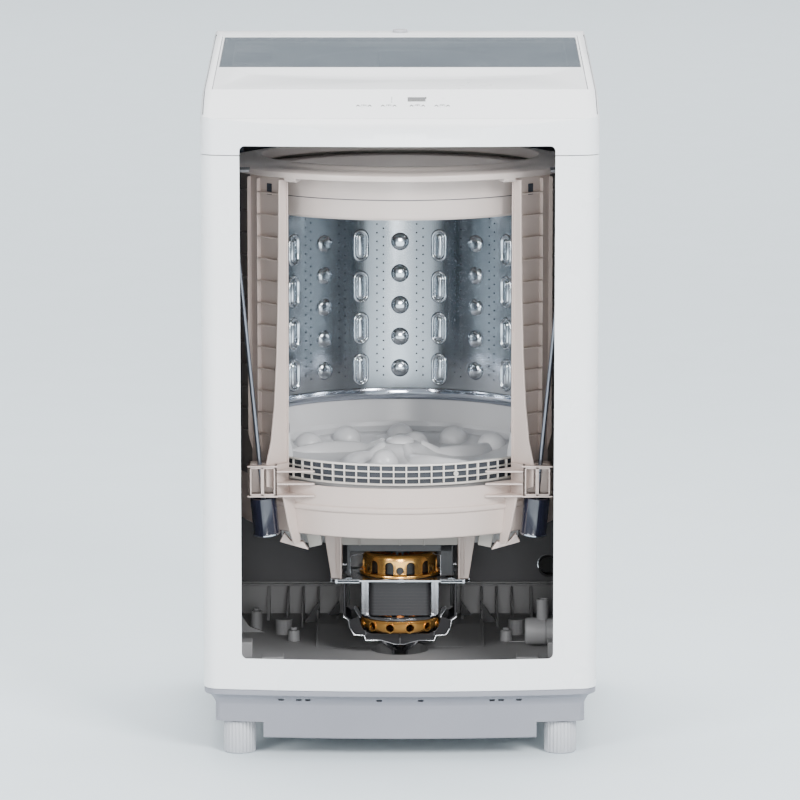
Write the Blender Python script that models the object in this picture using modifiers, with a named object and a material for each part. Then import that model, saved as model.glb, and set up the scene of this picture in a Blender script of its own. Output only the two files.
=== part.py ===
"""Top load washing machine, built as a cut-away: the front panel has a large window and the
outer tub and the drum are open towards it. Metres, +Z up, front towards -Y, and the origin
on the floor under the middle of the machine."""

import math

import bmesh
import bpy
from mathutils import Matrix, Vector

# Driving dimensions
WIDTH = 0.530
DEPTH = 0.540
HEIGHT = 0.944
PANEL_BULGE = 0.022
CORNER_RADIUS = 0.025
SHEET = 0.002
SKIN = 0.003
GAP = 0.0003
REAR_STEP = 0.0035

PLINTH_BOTTOM = 0.025
PANEL_BOTTOM = 0.093
SEAM_Z = 0.813
WINDOW_LEFT, WINDOW_RIGHT = -0.2125, 0.2055
WINDOW_BOTTOM, WINDOW_TOP = 0.136, 0.826
WINDOW_RADIUS = 0.007

FASCIA_FRONT_Z = 0.857
FASCIA_START_Y, FASCIA_START_Z = -0.249, 0.862
LID_FRONT_Y, LID_FRONT_Z = -0.170, 0.8945
LID_REAR_Y, LID_REAR_Z = 0.210, 0.940
LID_HALF_WIDTH = 0.2505
LID_THICKNESS = 0.012
GLASS_START = 0.151
GLASS_MARGIN = 0.0025
GLASS_END = 0.3715
HINGE_ALONG, HINGE_BELOW = 0.376, 0.006
MOUTH_RADIUS = 0.172
MOUTH_Y = 0.020

FOOT_X, FOOT_Y = 0.217, 0.212
FOOT_RADIUS = 0.0212
FOOT_FLUTE = 0.0008
FOOT_HEIGHT = 0.044

TUB_RADIUS = 0.232
TUB_TOP = 0.7812
TUB_CUT_HALF_ANGLE = 41.5
TUB_CUT_REACH = 0.236
TUB_CUT_BOTTOM = 0.3625
TUB_BORE_RADIUS = 0.2285
DRUM_RADIUS = 0.1997
DRUM_SHEET = 0.0012
DRUM_CUT_HALF_ANGLE = 50.0
DRUM_BASE_CUT_Z = 0.3905

WELL_RADIUS, WELL_BOTTOM = 0.040, 0.0685

SHAFT_RADIUS = 0.0100
SPIN_TUBE_RADIUS = 0.0165
RUNNING_GAP = 0.0004

ROD_RADIUS = 0.003
ROD_LEAN = 0.0375 / 0.403
ROD_FOOT_OFFSET, ROD_FOOT_Z = 0.190, 0.397
ROD_TOP_Z = 0.7975
ROD_BOTTOM_Z = 0.300
BRACKET_Z, BRACKET_THICKNESS = 0.790, 0.003
LUG_CENTRE, LUG_HALF = 0.187, 0.020
CUP_RADIUS, CUP_TOP, CUP_BOTTOM = 0.0175, 0.3372, 0.289

BUTTON_RADIUS = 0.005
BUTTON_HEIGHT = 0.005
BUTTON_Y = -0.215
BUTTONS = {"button_power": -0.048, "button_program": -0.015, "button_level": 0.023, "button_start": 0.056}
DISPLAY_X, DISPLAY_Y = 0.022, -0.198
DISPLAY_SIZE = (0.024, 0.013)

REAR_HOLES = {"gland_hole": (-0.215, 0.752, 0.0085), "drain_hole": (0.215, 0.168, 0.0150)}
SERVICE_HALF, SERVICE_LOW, SERVICE_HIGH, SERVICE_LAP = 0.172, 0.200, 0.700, 0.014
INLET_Y = 0.2405
TRAY_X, TRAY_ALONG = 0.205, 0.300
TRAY_HALF = (0.026, 0.034)
TRAY_DEPTH, TRAY_WALL = 0.022, 0.002

RING_STEPS = 40
MOTOR_STEPS = 24
SHAFT_STEPS = 20
SIDES = {"left": -1, "right": 1}
ENDS = {"front": -1, "rear": 1}

# Finish: colour, roughness, metallic
FINISHES = {
    "white_panel": ((0.86, 0.87, 0.88), 0.28, 0.0),
    "white_plastic": ((0.88, 0.89, 0.90), 0.32, 0.0),
    "grey_plastic": ((0.42, 0.44, 0.48), 0.45, 0.0),
    "foot_plastic": ((0.58, 0.59, 0.62), 0.50, 0.0),
    "dark_plastic": ((0.07, 0.07, 0.075), 0.55, 0.0),
    "tub_plastic": ((0.46, 0.41, 0.37), 0.45, 0.0),
    "drum_plastic": ((0.62, 0.60, 0.58), 0.40, 0.0),
    "stainless": ((0.60, 0.63, 0.67), 0.22, 1.0),
    "chrome": ((0.70, 0.72, 0.78), 0.12, 1.0),
    "steel": ((0.42, 0.43, 0.46), 0.35, 1.0),
    "aluminium": ((0.70, 0.71, 0.73), 0.35, 1.0),
    "gold_paint": ((0.60, 0.28, 0.05), 0.35, 1.0),
    "copper": ((0.55, 0.22, 0.09), 0.40, 1.0),
    "black_metal": ((0.02, 0.02, 0.025), 0.40, 0.6),
    "stator_black": ((0.06, 0.06, 0.065), 0.55, 0.2),
    "navy_gloss": ((0.02, 0.022, 0.04), 0.15, 0.1),
    "rubber": ((0.03, 0.03, 0.03), 0.80, 0.0),
    "glass": ((0.30, 0.38, 0.45), 0.08, 0.0),
    "display_black": ((0.01, 0.012, 0.016), 0.15, 0.0),
    "board_green": ((0.03, 0.16, 0.07), 0.50, 0.0),
}


# Scene and object helpers

def clear_scene():
    for old in list(bpy.data.objects):
        bpy.data.objects.remove(old, do_unlink=True)


def new_collection(name):
    collection = bpy.data.collections.new(name)
    bpy.context.scene.collection.children.link(collection)
    return collection


def paint(body, finish):
    colour, roughness, metallic = FINISHES[finish]
    material = bpy.data.materials.new(body.name + "_" + finish)
    material.use_nodes = True
    shader = material.node_tree.nodes["Principled BSDF"]
    shader.inputs["Base Color"].default_value = (*colour, 1.0)
    shader.inputs["Roughness"].default_value = roughness
    shader.inputs["Metallic"].default_value = metallic
    body.data.materials.clear()
    body.data.materials.append(material)


def put(name, mesh, finish, location=(0, 0, 0), rotation=(0, 0, 0), parent=None):
    """Place a mesh as a named piece of the machine."""
    body = bpy.data.objects.new(name, mesh)
    body.location = location
    body.rotation_euler = rotation
    PARTS.objects.link(body)
    paint(body, finish)
    mesh.shade_smooth()
    mesh.set_sharp_from_angle(angle=math.radians(35))
    if parent is not None:
        body.parent = parent
        body.matrix_parent_inverse = Matrix.Translation(parent.location).inverted()
    return body


def put_tool(name, mesh, location=(0, 0, 0), rotation=(0, 0, 0)):
    """Place a mesh that only cuts or joins another piece."""
    tool = bpy.data.objects.new(name, mesh)
    tool.location = location
    tool.rotation_euler = rotation
    tool.hide_render = True
    tool.display_type = "WIRE"
    CUTTERS.objects.link(tool)
    return tool


def boolean(body, tool, operation):
    modifier = body.modifiers.new(operation.lower() + "_" + tool.name, "BOOLEAN")
    modifier.operation = operation
    modifier.solver = "EXACT"
    modifier.object = tool
    return body


def cut(body, tool):
    return boolean(body, tool, "DIFFERENCE")


def join(body, tool):
    return boolean(body, tool, "UNION")


def new_anchor(name, location):
    anchor = bpy.data.objects.new(name, None)
    anchor.location = location
    PARTS.objects.link(anchor)
    return anchor


# Mesh makers

def block(name, low, high):
    builder = bmesh.new()
    bmesh.ops.create_cube(builder, size=1.0)
    low, high = Vector(low), Vector(high)
    bmesh.ops.scale(builder, vec=high - low, verts=builder.verts)
    bmesh.ops.translate(builder, vec=(low + high) / 2, verts=builder.verts)
    mesh = bpy.data.meshes.new(name)
    builder.to_mesh(mesh)
    builder.free()
    return mesh


def rod(name, radius, bottom, top, segments=SHAFT_STEPS, top_radius=None):
    """Upright cylinder or, with a top radius, a cone frustum."""
    builder = bmesh.new()
    bmesh.ops.create_cone(
        builder, cap_ends=True, segments=segments, radius1=radius,
        radius2=radius if top_radius is None else top_radius, depth=top - bottom)
    bmesh.ops.translate(builder, vec=(0, 0, (bottom + top) / 2), verts=builder.verts)
    mesh = bpy.data.meshes.new(name)
    builder.to_mesh(mesh)
    builder.free()
    return mesh


PLANES = {
    "XY": Matrix.Identity(4),
    "XZ": Matrix(((1, 0, 0, 0), (0, 0, -1, 0), (0, 1, 0, 0), (0, 0, 0, 1))),
    "YZ": Matrix(((0, 0, 1, 0), (1, 0, 0, 0), (0, 1, 0, 0), (0, 0, 0, 1))),
}
PLANE_NORMALS = {"XY": (0, 0, 1), "XZ": (0, 1, 0), "YZ": (1, 0, 0)}


def slab(name, loops, low, high, plane="XY"):
    """Flat outline, with holes for the loops after the first, between low and high across its plane."""
    curve = bpy.data.curves.new(name, "CURVE")
    curve.dimensions = "2D"
    curve.fill_mode = "BOTH"
    curve.extrude = (high - low) / 2
    for loop in loops:
        spline = curve.splines.new("POLY")
        spline.points.add(len(loop) - 1)
        for point, (u, v) in zip(spline.points, loop):
            point.co = (u, v, 0, 1)
        spline.use_cyclic_u = True
    outline = put_tool(name + "_outline", curve)
    graph = bpy.context.evaluated_depsgraph_get()
    mesh = bpy.data.meshes.new_from_object(outline.evaluated_get(graph))
    bpy.data.objects.remove(outline, do_unlink=True)
    builder = bmesh.new()
    builder.from_mesh(mesh)
    bmesh.ops.remove_doubles(builder, verts=builder.verts, dist=1e-5)
    bmesh.ops.recalc_face_normals(builder, faces=builder.faces)
    builder.to_mesh(mesh)
    builder.free()
    middle = Vector(PLANE_NORMALS[plane]) * ((low + high) / 2)
    mesh.transform(Matrix.Translation(middle) @ PLANES[plane])
    mesh.name = name
    return mesh


def profile(name, points, closed=True):
    """Profile of a turned shape in the XZ plane, its outer side listed from top to bottom."""
    count = len(points)
    edges = [(i, i + 1) for i in range(count - 1)]
    if closed:
        edges.append((count - 1, 0))
    mesh = bpy.data.meshes.new(name)
    mesh.from_pydata([(r, 0, z) for r, z in points], edges, [])
    return mesh


def turn(body, steps=RING_STEPS):
    screw = body.modifiers.new("turn", "SCREW")
    screw.angle = 2 * math.pi
    screw.steps = steps
    screw.render_steps = steps
    screw.use_merge_vertices = True
    screw.merge_threshold = 0.00005
    screw.use_smooth_shade = False
    return body


def turned(name, points, finish, steps=RING_STEPS, closed=True, **place):
    return turn(put(name, profile(name, points, closed), finish, **place), steps)


# Outlines

def rounded_rectangle(low, high, radius, arc_steps=4):
    (u0, v0), (u1, v1) = low, high
    centres = [(u1 - radius, v0 + radius), (u1 - radius, v1 - radius),
               (u0 + radius, v1 - radius), (u0 + radius, v0 + radius)]
    points = []
    for quarter, (cu, cv) in enumerate(centres):
        for step in range(arc_steps + 1):
            angle = math.radians(-90 + 90 * (quarter + step / arc_steps))
            points.append((cu + radius * math.cos(angle), cv + radius * math.sin(angle)))
    return points


def circle(radius, centre=(0, 0), steps=RING_STEPS):
    turns = [2 * math.pi * i / steps for i in range(steps)]
    return [(centre[0] + radius * math.cos(a), centre[1] + radius * math.sin(a)) for a in turns]


def front_y(x, inset=0.0):
    """Front of the bowed panel at a distance x from the middle."""
    return -DEPTH / 2 + inset + PANEL_BULGE * (x / (WIDTH / 2)) ** 2


def cabinet_outline(inset, rear_step=REAR_STEP, front_steps=8, arc_steps=4):
    """Plan of the cabinet: a bowed front, rounded front corners and tighter rear corners."""
    half = WIDTH / 2 - inset
    radius = max(CORNER_RADIUS - inset, 0.002)
    arc_x = half - radius
    for _ in range(4):
        slope = math.atan(2 * PANEL_BULGE * arc_x / (WIDTH / 2) ** 2)
        arc_x = half - radius * (1 - math.sin(slope))
    centre = (arc_x - radius * math.sin(slope), front_y(arc_x, inset) + radius * math.cos(slope))
    right = [(arc_x * i / front_steps, front_y(arc_x * i / front_steps, inset)) for i in range(front_steps)]
    start = -math.pi / 2 + slope
    for step in range(arc_steps + 1):
        angle = start * (1 - step / arc_steps)
        right.append((centre[0] + radius * math.cos(angle), centre[1] + radius * math.sin(angle)))
    rear = DEPTH / 2 - rear_step - inset
    rear_radius = radius * 0.6
    for step in range(arc_steps + 1):
        angle = math.pi / 2 * step / arc_steps
        inward = rear_radius * (1 - math.cos(angle))
        right.append((half - inward, rear - rear_radius * (1 - math.sin(angle))))
    left = [(-x, y) for x, y in reversed(right) if x > 0]
    return right + left


def front_sector(half_angle, radius=0.35, steps=8):
    """Wedge that opens towards the front, as a plan outline."""
    angles = [math.radians(-90 - half_angle + 2 * half_angle * i / steps) for i in range(steps + 1)]
    return [(0.0, 0.0)] + [(radius * math.cos(a), radius * math.sin(a)) for a in angles]


# Casing

def build_cabinet():
    walls = slab("cabinet", [cabinet_outline(0), cabinet_outline(SHEET)], PANEL_BOTTOM + GAP, SEAM_Z - GAP)
    cabinet = put("cabinet", walls, "white_panel")
    cut(cabinet, window_tool("cabinet_window"))
    opening = rounded_rectangle((-SERVICE_HALF, SERVICE_LOW), (SERVICE_HALF, SERVICE_HIGH), 0.012)
    service = slab("cabinet_service", [opening], 0.22, 0.30, "XZ")
    cut(cabinet, put_tool("cabinet_service", service))
    turn_up = (-math.pi / 2, 0, 0)
    for name, (x, z, radius) in REAR_HOLES.items():
        bore = put_tool("cabinet_" + name, rod(name, radius, -0.02, 0.02, 24), (x, 0.2655, z), turn_up)
        cut(cabinet, bore)

    lower = (-SERVICE_HALF - SERVICE_LAP, SERVICE_LOW - SERVICE_LAP)
    upper = (SERVICE_HALF + SERVICE_LAP, SERVICE_HIGH + SERVICE_LAP)
    sheet = slab("rear_panel", [rounded_rectangle(lower, upper, 0.012)], 0.2668, 0.2683, "XZ")
    panel = put("rear_panel", sheet, "white_panel")
    for index in range(4):
        z = 0.270 + 0.120 * index
        outline = rounded_rectangle((-0.150, z), (0.150, z + 0.024), 0.010)
        rib = slab("rear_rib", [outline], 0.2675, 0.2695, "XZ")
        join(panel, put_tool("rear_rib_%d" % index, rib))


def window_tool(name):
    window = slab(name, [rounded_rectangle((WINDOW_LEFT, WINDOW_BOTTOM), (WINDOW_RIGHT, WINDOW_TOP),
                                           WINDOW_RADIUS)], -0.30, -0.20, "XZ")
    return put_tool(name, window)


def build_base():
    lip = slab("base_plinth", [cabinet_outline(0.001), cabinet_outline(0.024)], 0.085, PANEL_BOTTOM)
    plinth = put("base_plinth", lip, "grey_plastic")
    skirt = slab("skirt", [cabinet_outline(0.016), cabinet_outline(0.020)], PLINTH_BOTTOM, 0.087)
    join(plinth, put_tool("skirt", skirt))
    stem_holes = []
    for side, sx in SIDES.items():
        for end, sy in ENDS.items():
            low = (min(sx * 0.190, sx * 0.247), min(sy * 0.182, sy * 0.236), 0.047)
            high = (max(sx * 0.190, sx * 0.247), max(sy * 0.182, sy * 0.236), 0.053)
            join(plinth, put_tool("socket_%s_%s" % (end, side), block("socket", low, high)))
            stem_holes.append((sx * FOOT_X, sy * FOOT_Y))
    for index, (x, y) in enumerate(stem_holes):
        cut(plinth, put_tool("stem_hole_%d" % index, rod("stem_hole", 0.0055, 0.04, 0.06, 16), (x, y, 0)))
    for side, sx in SIDES.items():
        inner, outer = sorted((sx * 0.184, sx * 0.30))
        notch = block("notch", (inner, -0.30, 0.02), (outer, 0.30, 0.0462))
        cut(plinth, put_tool("notch_" + side, notch))

    build_base_pan()
    flutes = 18
    outline = []
    for step in range(flutes * 3):
        angle = 2 * math.pi * step / (flutes * 3)
        radius = FOOT_RADIUS + FOOT_FLUTE * math.cos(flutes * angle)
        outline.append((radius * math.cos(angle), radius * math.sin(angle)))
    for side, sx in SIDES.items():
        for end, sy in ENDS.items():
            name = "foot_%s_%s" % (end, side)
            foot = put(name, slab(name, [outline], 0.0, FOOT_HEIGHT), "foot_plastic",
                       location=(sx * FOOT_X, sy * FOOT_Y, 0))
            stem = rod(name + "_stem", 0.005, FOOT_HEIGHT - 0.004, 0.078, 16)
            join(foot, put_tool(name + "_stem", stem, (sx * FOOT_X, sy * FOOT_Y, 0)))


def build_base_pan():
    """Dark tray that closes the base, with a round well under the nose of the motor."""
    floor_bottom, floor_top, wall_top = PANEL_BOTTOM + GAP, 0.0965, 0.143
    plate = slab("base_pan", [cabinet_outline(0.0030)], floor_bottom, floor_top)
    pan = put("base_pan", plate, "dark_plastic")
    wall = slab("pan_wall", [cabinet_outline(0.0033), cabinet_outline(0.0063)], 0.095, wall_top)
    join(pan, put_tool("pan_wall", wall))
    cup = rod("pan_cup", WELL_RADIUS + SKIN, WELL_BOTTOM - SKIN, floor_top - 0.001, 24)
    join(pan, put_tool("pan_cup", cup))
    cut(pan, put_tool("pan_well", rod("pan_well", WELL_RADIUS, WELL_BOTTOM, 0.12, 24)))
    clear_front = block("pan_front", (-0.30, -0.40, 0.125), (0.30, -0.150, 0.30))
    cut(pan, put_tool("pan_front", clear_front))
    for index, x in enumerate((-0.190, -0.140, -0.090, 0.090, 0.140, 0.190)):
        web = [(0.262, 0.095), (0.262, 0.139), (0.250, 0.139), (0.205, 0.0955), (0.205, 0.095)]
        join(pan, put_tool("pan_web_%d" % index, slab("pan_web", [web], x - 0.002, x + 0.002, "YZ")))
    ramp = [(0.015, 0.095), (0.015, 0.0967), (0.110, 0.1100), (0.150, 0.1100), (0.150, 0.095)]
    cut_back = rod("ramp_well", WELL_RADIUS, 0.09, 0.12, 24)
    ramp = put_tool("pan_ramp", slab("pan_ramp", [ramp], -0.115, 0.115, "YZ"))
    cut(ramp, put_tool("ramp_well", cut_back))
    join(pan, ramp)
    for side, sx in SIDES.items():
        boss = rod("pan_boss", 0.012, 0.095, 0.118, 16)
        join(pan, put_tool("pan_boss_" + side, boss, (sx * 0.165, 0.110, 0)))
        shoulder = [(sx * 0.262, 0.095), (sx * 0.262, 0.139), (sx * 0.235, 0.134), (sx * 0.215, 0.105),
                    (sx * 0.190, 0.0955), (sx * 0.190, 0.095)]
        join(pan, put_tool("pan_shoulder_" + side, slab("pan_shoulder", [shoulder], 0.120, 0.124, "XZ")))
    seat = block("pan_pump_seat", (0.150, -0.006, 0.0955), (0.2615, 0.056, 0.20))
    cut(pan, put_tool("pan_pump_seat", seat))


def top_profile(lower=0.0):
    """Side view of the top: a rolled front edge, the sloped fascia, the lid's slope and the rear strip."""
    return [(-DEPTH / 2 - 0.01, SEAM_Z - 0.05), (-DEPTH / 2 - 0.01, 0.842 - lower), (-0.268, 0.848 - lower),
            (-0.260, FASCIA_FRONT_Z - lower), (FASCIA_START_Y, FASCIA_START_Z - lower),
            (LID_FRONT_Y, LID_FRONT_Z - lower),
            (LID_REAR_Y, LID_REAR_Z - lower), (0.225, 0.9425 - lower), (0.262, HEIGHT - 0.0005 - lower),
            (0.282, HEIGHT - 0.006 - lower), (0.282, SEAM_Z - 0.05)]


LID_SLOPE = math.atan2(LID_REAR_Z - LID_FRONT_Z, LID_REAR_Y - LID_FRONT_Y)
FASCIA_SLOPE = math.atan2(LID_FRONT_Z - FASCIA_START_Z, LID_FRONT_Y - FASCIA_START_Y)
LID_PLACE = Matrix.Translation((0, LID_FRONT_Y, LID_FRONT_Z)) @ Matrix.Rotation(LID_SLOPE, 4, "X")
LID_LENGTH = math.hypot(LID_REAR_Y - LID_FRONT_Y, LID_REAR_Z - LID_FRONT_Z)


def lid_block(name, low, high):
    """Block given in the lid's own axes: across, along the slope and out of the top face."""
    mesh = block(name, low, high)
    mesh.transform(LID_PLACE)
    return mesh


def lid_slab(name, loops, low, high):
    mesh = slab(name, loops, low, high)
    mesh.transform(LID_PLACE)
    return mesh


def fascia_point(y):
    return Vector((0, y, FASCIA_START_Z + (y - FASCIA_START_Y) * math.tan(FASCIA_SLOPE)))


def build_top_cover():
    blank = slab("top_cover", [cabinet_outline(0, rear_step=0)], SEAM_Z, 0.96)
    cover = put("top_cover", blank, "white_plastic")
    outside = slab("top_shape", [top_profile()], -0.30, 0.30, "YZ")
    boolean(cover, put_tool("top_shape", outside), "INTERSECT")

    hollow = put_tool("top_hollow", slab("top_hollow", [cabinet_outline(SKIN, rear_step=0)], 0.80, 0.96))
    inside = slab("top_inside", [top_profile(SKIN)], -0.30, 0.30, "YZ")
    boolean(hollow, put_tool("top_inside", inside), "INTERSECT")
    side, front, rear = LID_HALF_WIDTH + 0.001, -0.0012, LID_LENGTH + 0.0035
    deep = LID_THICKNESS + 0.0035
    keep = put_tool("recess_body", lid_block("recess_body", (-side - SKIN, front - SKIN, -deep - SKIN),
                                             (side + SKIN, rear + SKIN, 0.05)))
    cut(hollow, keep)
    cut(cover, hollow)
    cut(cover, put_tool("lid_recess", lid_block("lid_recess", (-side, front, -deep), (side, rear, 0.05))))
    rings = [circle(MOUTH_RADIUS + SKIN, (0, MOUTH_Y)), circle(MOUTH_RADIUS - 0.001, (0, MOUTH_Y))]
    collar_tool = put_tool("collar", slab("collar", rings, 0.845, 0.8820))
    above = lid_block("collar_top", (-0.3, -0.2, -deep - SKIN / 2), (0.3, 0.6, 0.1))
    cut(collar_tool, put_tool("collar_top", above))
    join(cover, collar_tool)
    cut(cover, put_tool("mouth", rod("mouth", MOUTH_RADIUS, 0.80, 0.98, RING_STEPS), (0, MOUTH_Y, 0)))
    cut(cover, window_tool("apron_window"))

    tilt = (FASCIA_SLOPE, 0, 0)
    for name, x in BUTTONS.items():
        hole = rod(name + "_hole", BUTTON_RADIUS + GAP, -0.010, 0.010, 20)
        cut(cover, put_tool(name + "_hole", hole, fascia_point(BUTTON_Y) + Vector((x, 0, 0)), tilt))
    width, depth = DISPLAY_SIZE
    slot = block("display_slot", (-width / 2, -depth / 2, -0.01), (width / 2, depth / 2, 0.01))
    cut(cover, put_tool("display_slot", slot, fascia_point(DISPLAY_Y) + Vector((DISPLAY_X, 0, 0)), tilt))
    cut(cover, put_tool("inlet_hole", rod("inlet_hole", 0.0113, 0.92, 0.96, 24), (0, INLET_Y, 0)))
    for side_name, sx in SIDES.items():
        well = lid_block("well", (sx * TRAY_X - TRAY_HALF[0], TRAY_ALONG - TRAY_HALF[1], -0.05),
                         (sx * TRAY_X + TRAY_HALF[0], TRAY_ALONG + TRAY_HALF[1], 0.0))
        cut(cover, put_tool("well_" + side_name, well))
        pin_hole = rod("pin_hole", 0.0033, -0.0075, 0.0075, 16)
        place = hinge_point() + Vector((sx * (LID_HALF_WIDTH + 0.0035), 0, 0))
        cut(cover, put_tool("pin_hole_" + side_name, pin_hole, place, (0, math.pi / 2, 0)))


def hinge_point():
    return LID_PLACE @ Vector((0, HINGE_ALONG, -HINGE_BELOW))


def build_lid():
    hinge = new_anchor("lid_hinge", hinge_point())
    half = LID_HALF_WIDTH
    outer = [(-half, 0), (half, 0), (half, LID_LENGTH), (-half, LID_LENGTH)]
    lower = (-half + 0.020, GLASS_START + 0.014)
    upper = (half - 0.020, GLASS_END - 0.012)
    opening = rounded_rectangle(lower, upper, 0.006)
    frame = put("lid_frame", lid_slab("lid_frame", [outer, opening], -LID_THICKNESS, 0), "white_plastic",
                parent=hinge)
    side = half - GLASS_MARGIN
    seat = lid_block("glass_seat", (-side, GLASS_START, -0.0040), (side, GLASS_END, 0.01))
    cut(frame, put_tool("glass_seat", seat))
    lower = (-side + 0.0005, GLASS_START + 0.0005)
    pane = rounded_rectangle(lower, (side - 0.0005, GLASS_END - 0.0005), 0.002)
    pane = lid_slab("lid_glass", [pane], -0.0037, -0.0002)
    put("lid_glass", pane, "glass", parent=hinge)
    for side, sx in SIDES.items():
        place = hinge_point() + Vector((sx * (LID_HALF_WIDTH - 0.0030), 0, 0))
        turn_across = (0, math.pi / 2, 0)
        bore = rod("lid_bore", 0.0033, -0.0068, 0.0068, 16)
        cut(frame, put_tool("lid_bore_" + side, bore, place, turn_across))
        put("lid_hinge_pin_" + side, rod("lid_hinge_pin", 0.0029, -0.0060, 0.0060, 16), "steel",
            location=place, rotation=turn_across)


def build_controls():
    tilt = (FASCIA_SLOPE, 0, 0)
    for name, x in BUTTONS.items():
        cap = rod(name, BUTTON_RADIUS, 0.0004 - BUTTON_HEIGHT, 0.0004, 20)
        put(name, cap, "white_plastic", fascia_point(BUTTON_Y) + Vector((x, 0, 0)), tilt)
    width, depth = DISPLAY_SIZE
    reach_x, reach_y = width / 2 - GAP, depth / 2 - GAP
    pane = block("display_window", (-reach_x, -reach_y, -0.0025), (reach_x, reach_y, 0))
    put("display_window", pane, "display_black", fascia_point(DISPLAY_Y) + Vector((DISPLAY_X, 0, 0)), tilt)
    board = block("control_board", (-0.085, -0.024, -0.0016), (0.085, 0.024, 0))
    middle = fascia_point(-0.208)
    put("control_board", board, "board_green", middle + Vector((0, 0.004, -0.012)), tilt)


def tray_block(name, sx, grow, low, high):
    """Box over one dispenser well, with its levels counted from the shelf under the lid."""
    half_x = TRAY_HALF[0] - GAP * 2 + grow
    half_along = TRAY_HALF[1] - GAP * 2 + grow
    shelf = -LID_THICKNESS - 0.0035
    return lid_block(name, (sx * TRAY_X - half_x, TRAY_ALONG - half_along, shelf + low),
                     (sx * TRAY_X + half_x, TRAY_ALONG + half_along, shelf + high))


def build_water_supply():
    valve = block("water_inlet_valve", (-0.030, 0.2235, 0.885), (0.030, 0.2600, 0.920))
    valve = put("water_inlet_valve", valve, "grey_plastic")
    stub = rod("inlet_stub", 0.0108, 0.915, HEIGHT + 0.003, 24)
    join(valve, put_tool("inlet_stub", stub, (0, INLET_Y, 0)))
    bore = rod("inlet_bore", 0.0075, 0.930, 0.960, 16)
    cut(valve, put_tool("inlet_bore", bore, (0, INLET_Y, 0)))
    for name, sx in {"detergent_box": -1, "softener_box": 1}.items():
        tray = put(name, tray_block(name, sx, 0, -TRAY_DEPTH, 0.0004), "drum_plastic")
        join(tray, put_tool(name + "_rim", tray_block("rim", sx, TRAY_WALL, 0.0003, 0.0013)))
        hollow = tray_block("tray_hollow", sx, -TRAY_WALL, TRAY_WALL - TRAY_DEPTH, 0.026)
        cut(tray, put_tool(name + "_hollow", hollow))


def build_rear_fittings():
    turn_out = (-math.pi / 2, 0, 0)
    x, z, _ = REAR_HOLES["gland_hole"]
    grommet = [(0.0125, 0.0035), (0.0125, 0.0005), (0.0080, 0.0003), (0.0080, -0.0025), (0.0120, -0.0027),
               (0.0120, -0.0070), (0.0045, -0.0070), (0.0045, 0.0035)]
    turned("cord_gland", grommet, "rubber", steps=16, location=(x, 0.2665, z), rotation=turn_out)
    x, z, _ = REAR_HOLES["drain_hole"]
    spout = [(0.0145, 0.0030), (0.0145, -0.0240), (0.0115, -0.0240), (0.0115, 0.0030)]
    turned("drain_outlet", spout, "grey_plastic", steps=20, location=(x, 0.2665, z), rotation=turn_out)
    pump = put("drain_pump", rod("drain_pump", 0.0190, -0.040, 0.040, 24), "grey_plastic",
               location=(0.215, 0.025, 0.1175), rotation=(0, math.pi / 2, 0))
    nozzle = rod("pump_nozzle", 0.0085, 0.0, 0.046, 16)
    join(pump, put_tool("pump_nozzle", nozzle, (0.200, 0.025, 0.1175)))


# Suspension

def rod_offset(z):
    return ROD_FOOT_OFFSET + ROD_LEAN * (z - ROD_FOOT_Z)


def build_suspension():
    for side, sx in SIDES.items():
        for end, sy in ENDS.items():
            place = "%s_%s" % (end, side)
            lean = Vector((sx * ROD_LEAN, sy * ROD_LEAN, 1)).normalized()
            rotation = Vector((0, 0, 1)).rotation_difference(lean).to_euler()
            top = Vector((sx * rod_offset(ROD_TOP_Z), sy * rod_offset(ROD_TOP_Z), ROD_TOP_Z))
            length = (ROD_TOP_Z - ROD_BOTTOM_Z) / lean.z
            hanger = [(0, 0.0060), (0.0042, 0.0050), (0.0070, 0), (0.0070, -0.0030), (ROD_RADIUS, -0.0032),
                      (ROD_RADIUS, 0.006 - length), (0.0100, 0.0055 - length), (0.0100, -length),
                      (0, -length)]
            turned("suspension_rod_" + place, hanger, "steel", steps=8, closed=False,
                   location=top, rotation=rotation)

            corner = [(0.200, 0.205), (0.2612, 0.205), (0.2612, 0.220), (0.2445, 0.2440), (0.200, 0.2440)]
            corner = [(sx * x, sy * y) for x, y in corner]
            hole_at = (sx * rod_offset(BRACKET_Z), sy * rod_offset(BRACKET_Z))
            bracket = slab("hanger_bracket", [corner, circle(0.0042, hole_at, 12)],
                           BRACKET_Z, BRACKET_Z + BRACKET_THICKNESS)
            put("hanger_bracket_" + place, bracket, "steel")

            cup_top = Vector((sx * rod_offset(CUP_TOP), sy * rod_offset(CUP_TOP), CUP_TOP - 0.0022))
            deep = (CUP_TOP - CUP_BOTTOM) / lean.z
            wall, slack = 0.0020, 0.0004
            cup = [(CUP_RADIUS, 0), (CUP_RADIUS, slack - deep), (CUP_RADIUS - slack, -deep), (0, -deep),
                   (0, wall - deep), (CUP_RADIUS - wall, wall - deep), (CUP_RADIUS - wall, 0)]
            turned("damper_cup_" + place, cup + cup[:1], "navy_gloss", steps=16, closed=False,
                   location=cup_top, rotation=rotation)


# Outer tub

def tub_ring():
    return [(TUB_RADIUS + 0.002, TUB_TOP), (TUB_RADIUS, 0.329), (0.2245, 0.293), (0.2215, 0.293),
            (0.2222, 0.3005), (0.0340, 0.3005), (0.0340, 0.270), (0.0300, 0.270), (0.0300, 0.312),
            (0.0340, 0.312), (0.0340, 0.3045), (0.2265, 0.3045), (0.2290, 0.335), (0.2290, TUB_TOP)]


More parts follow.
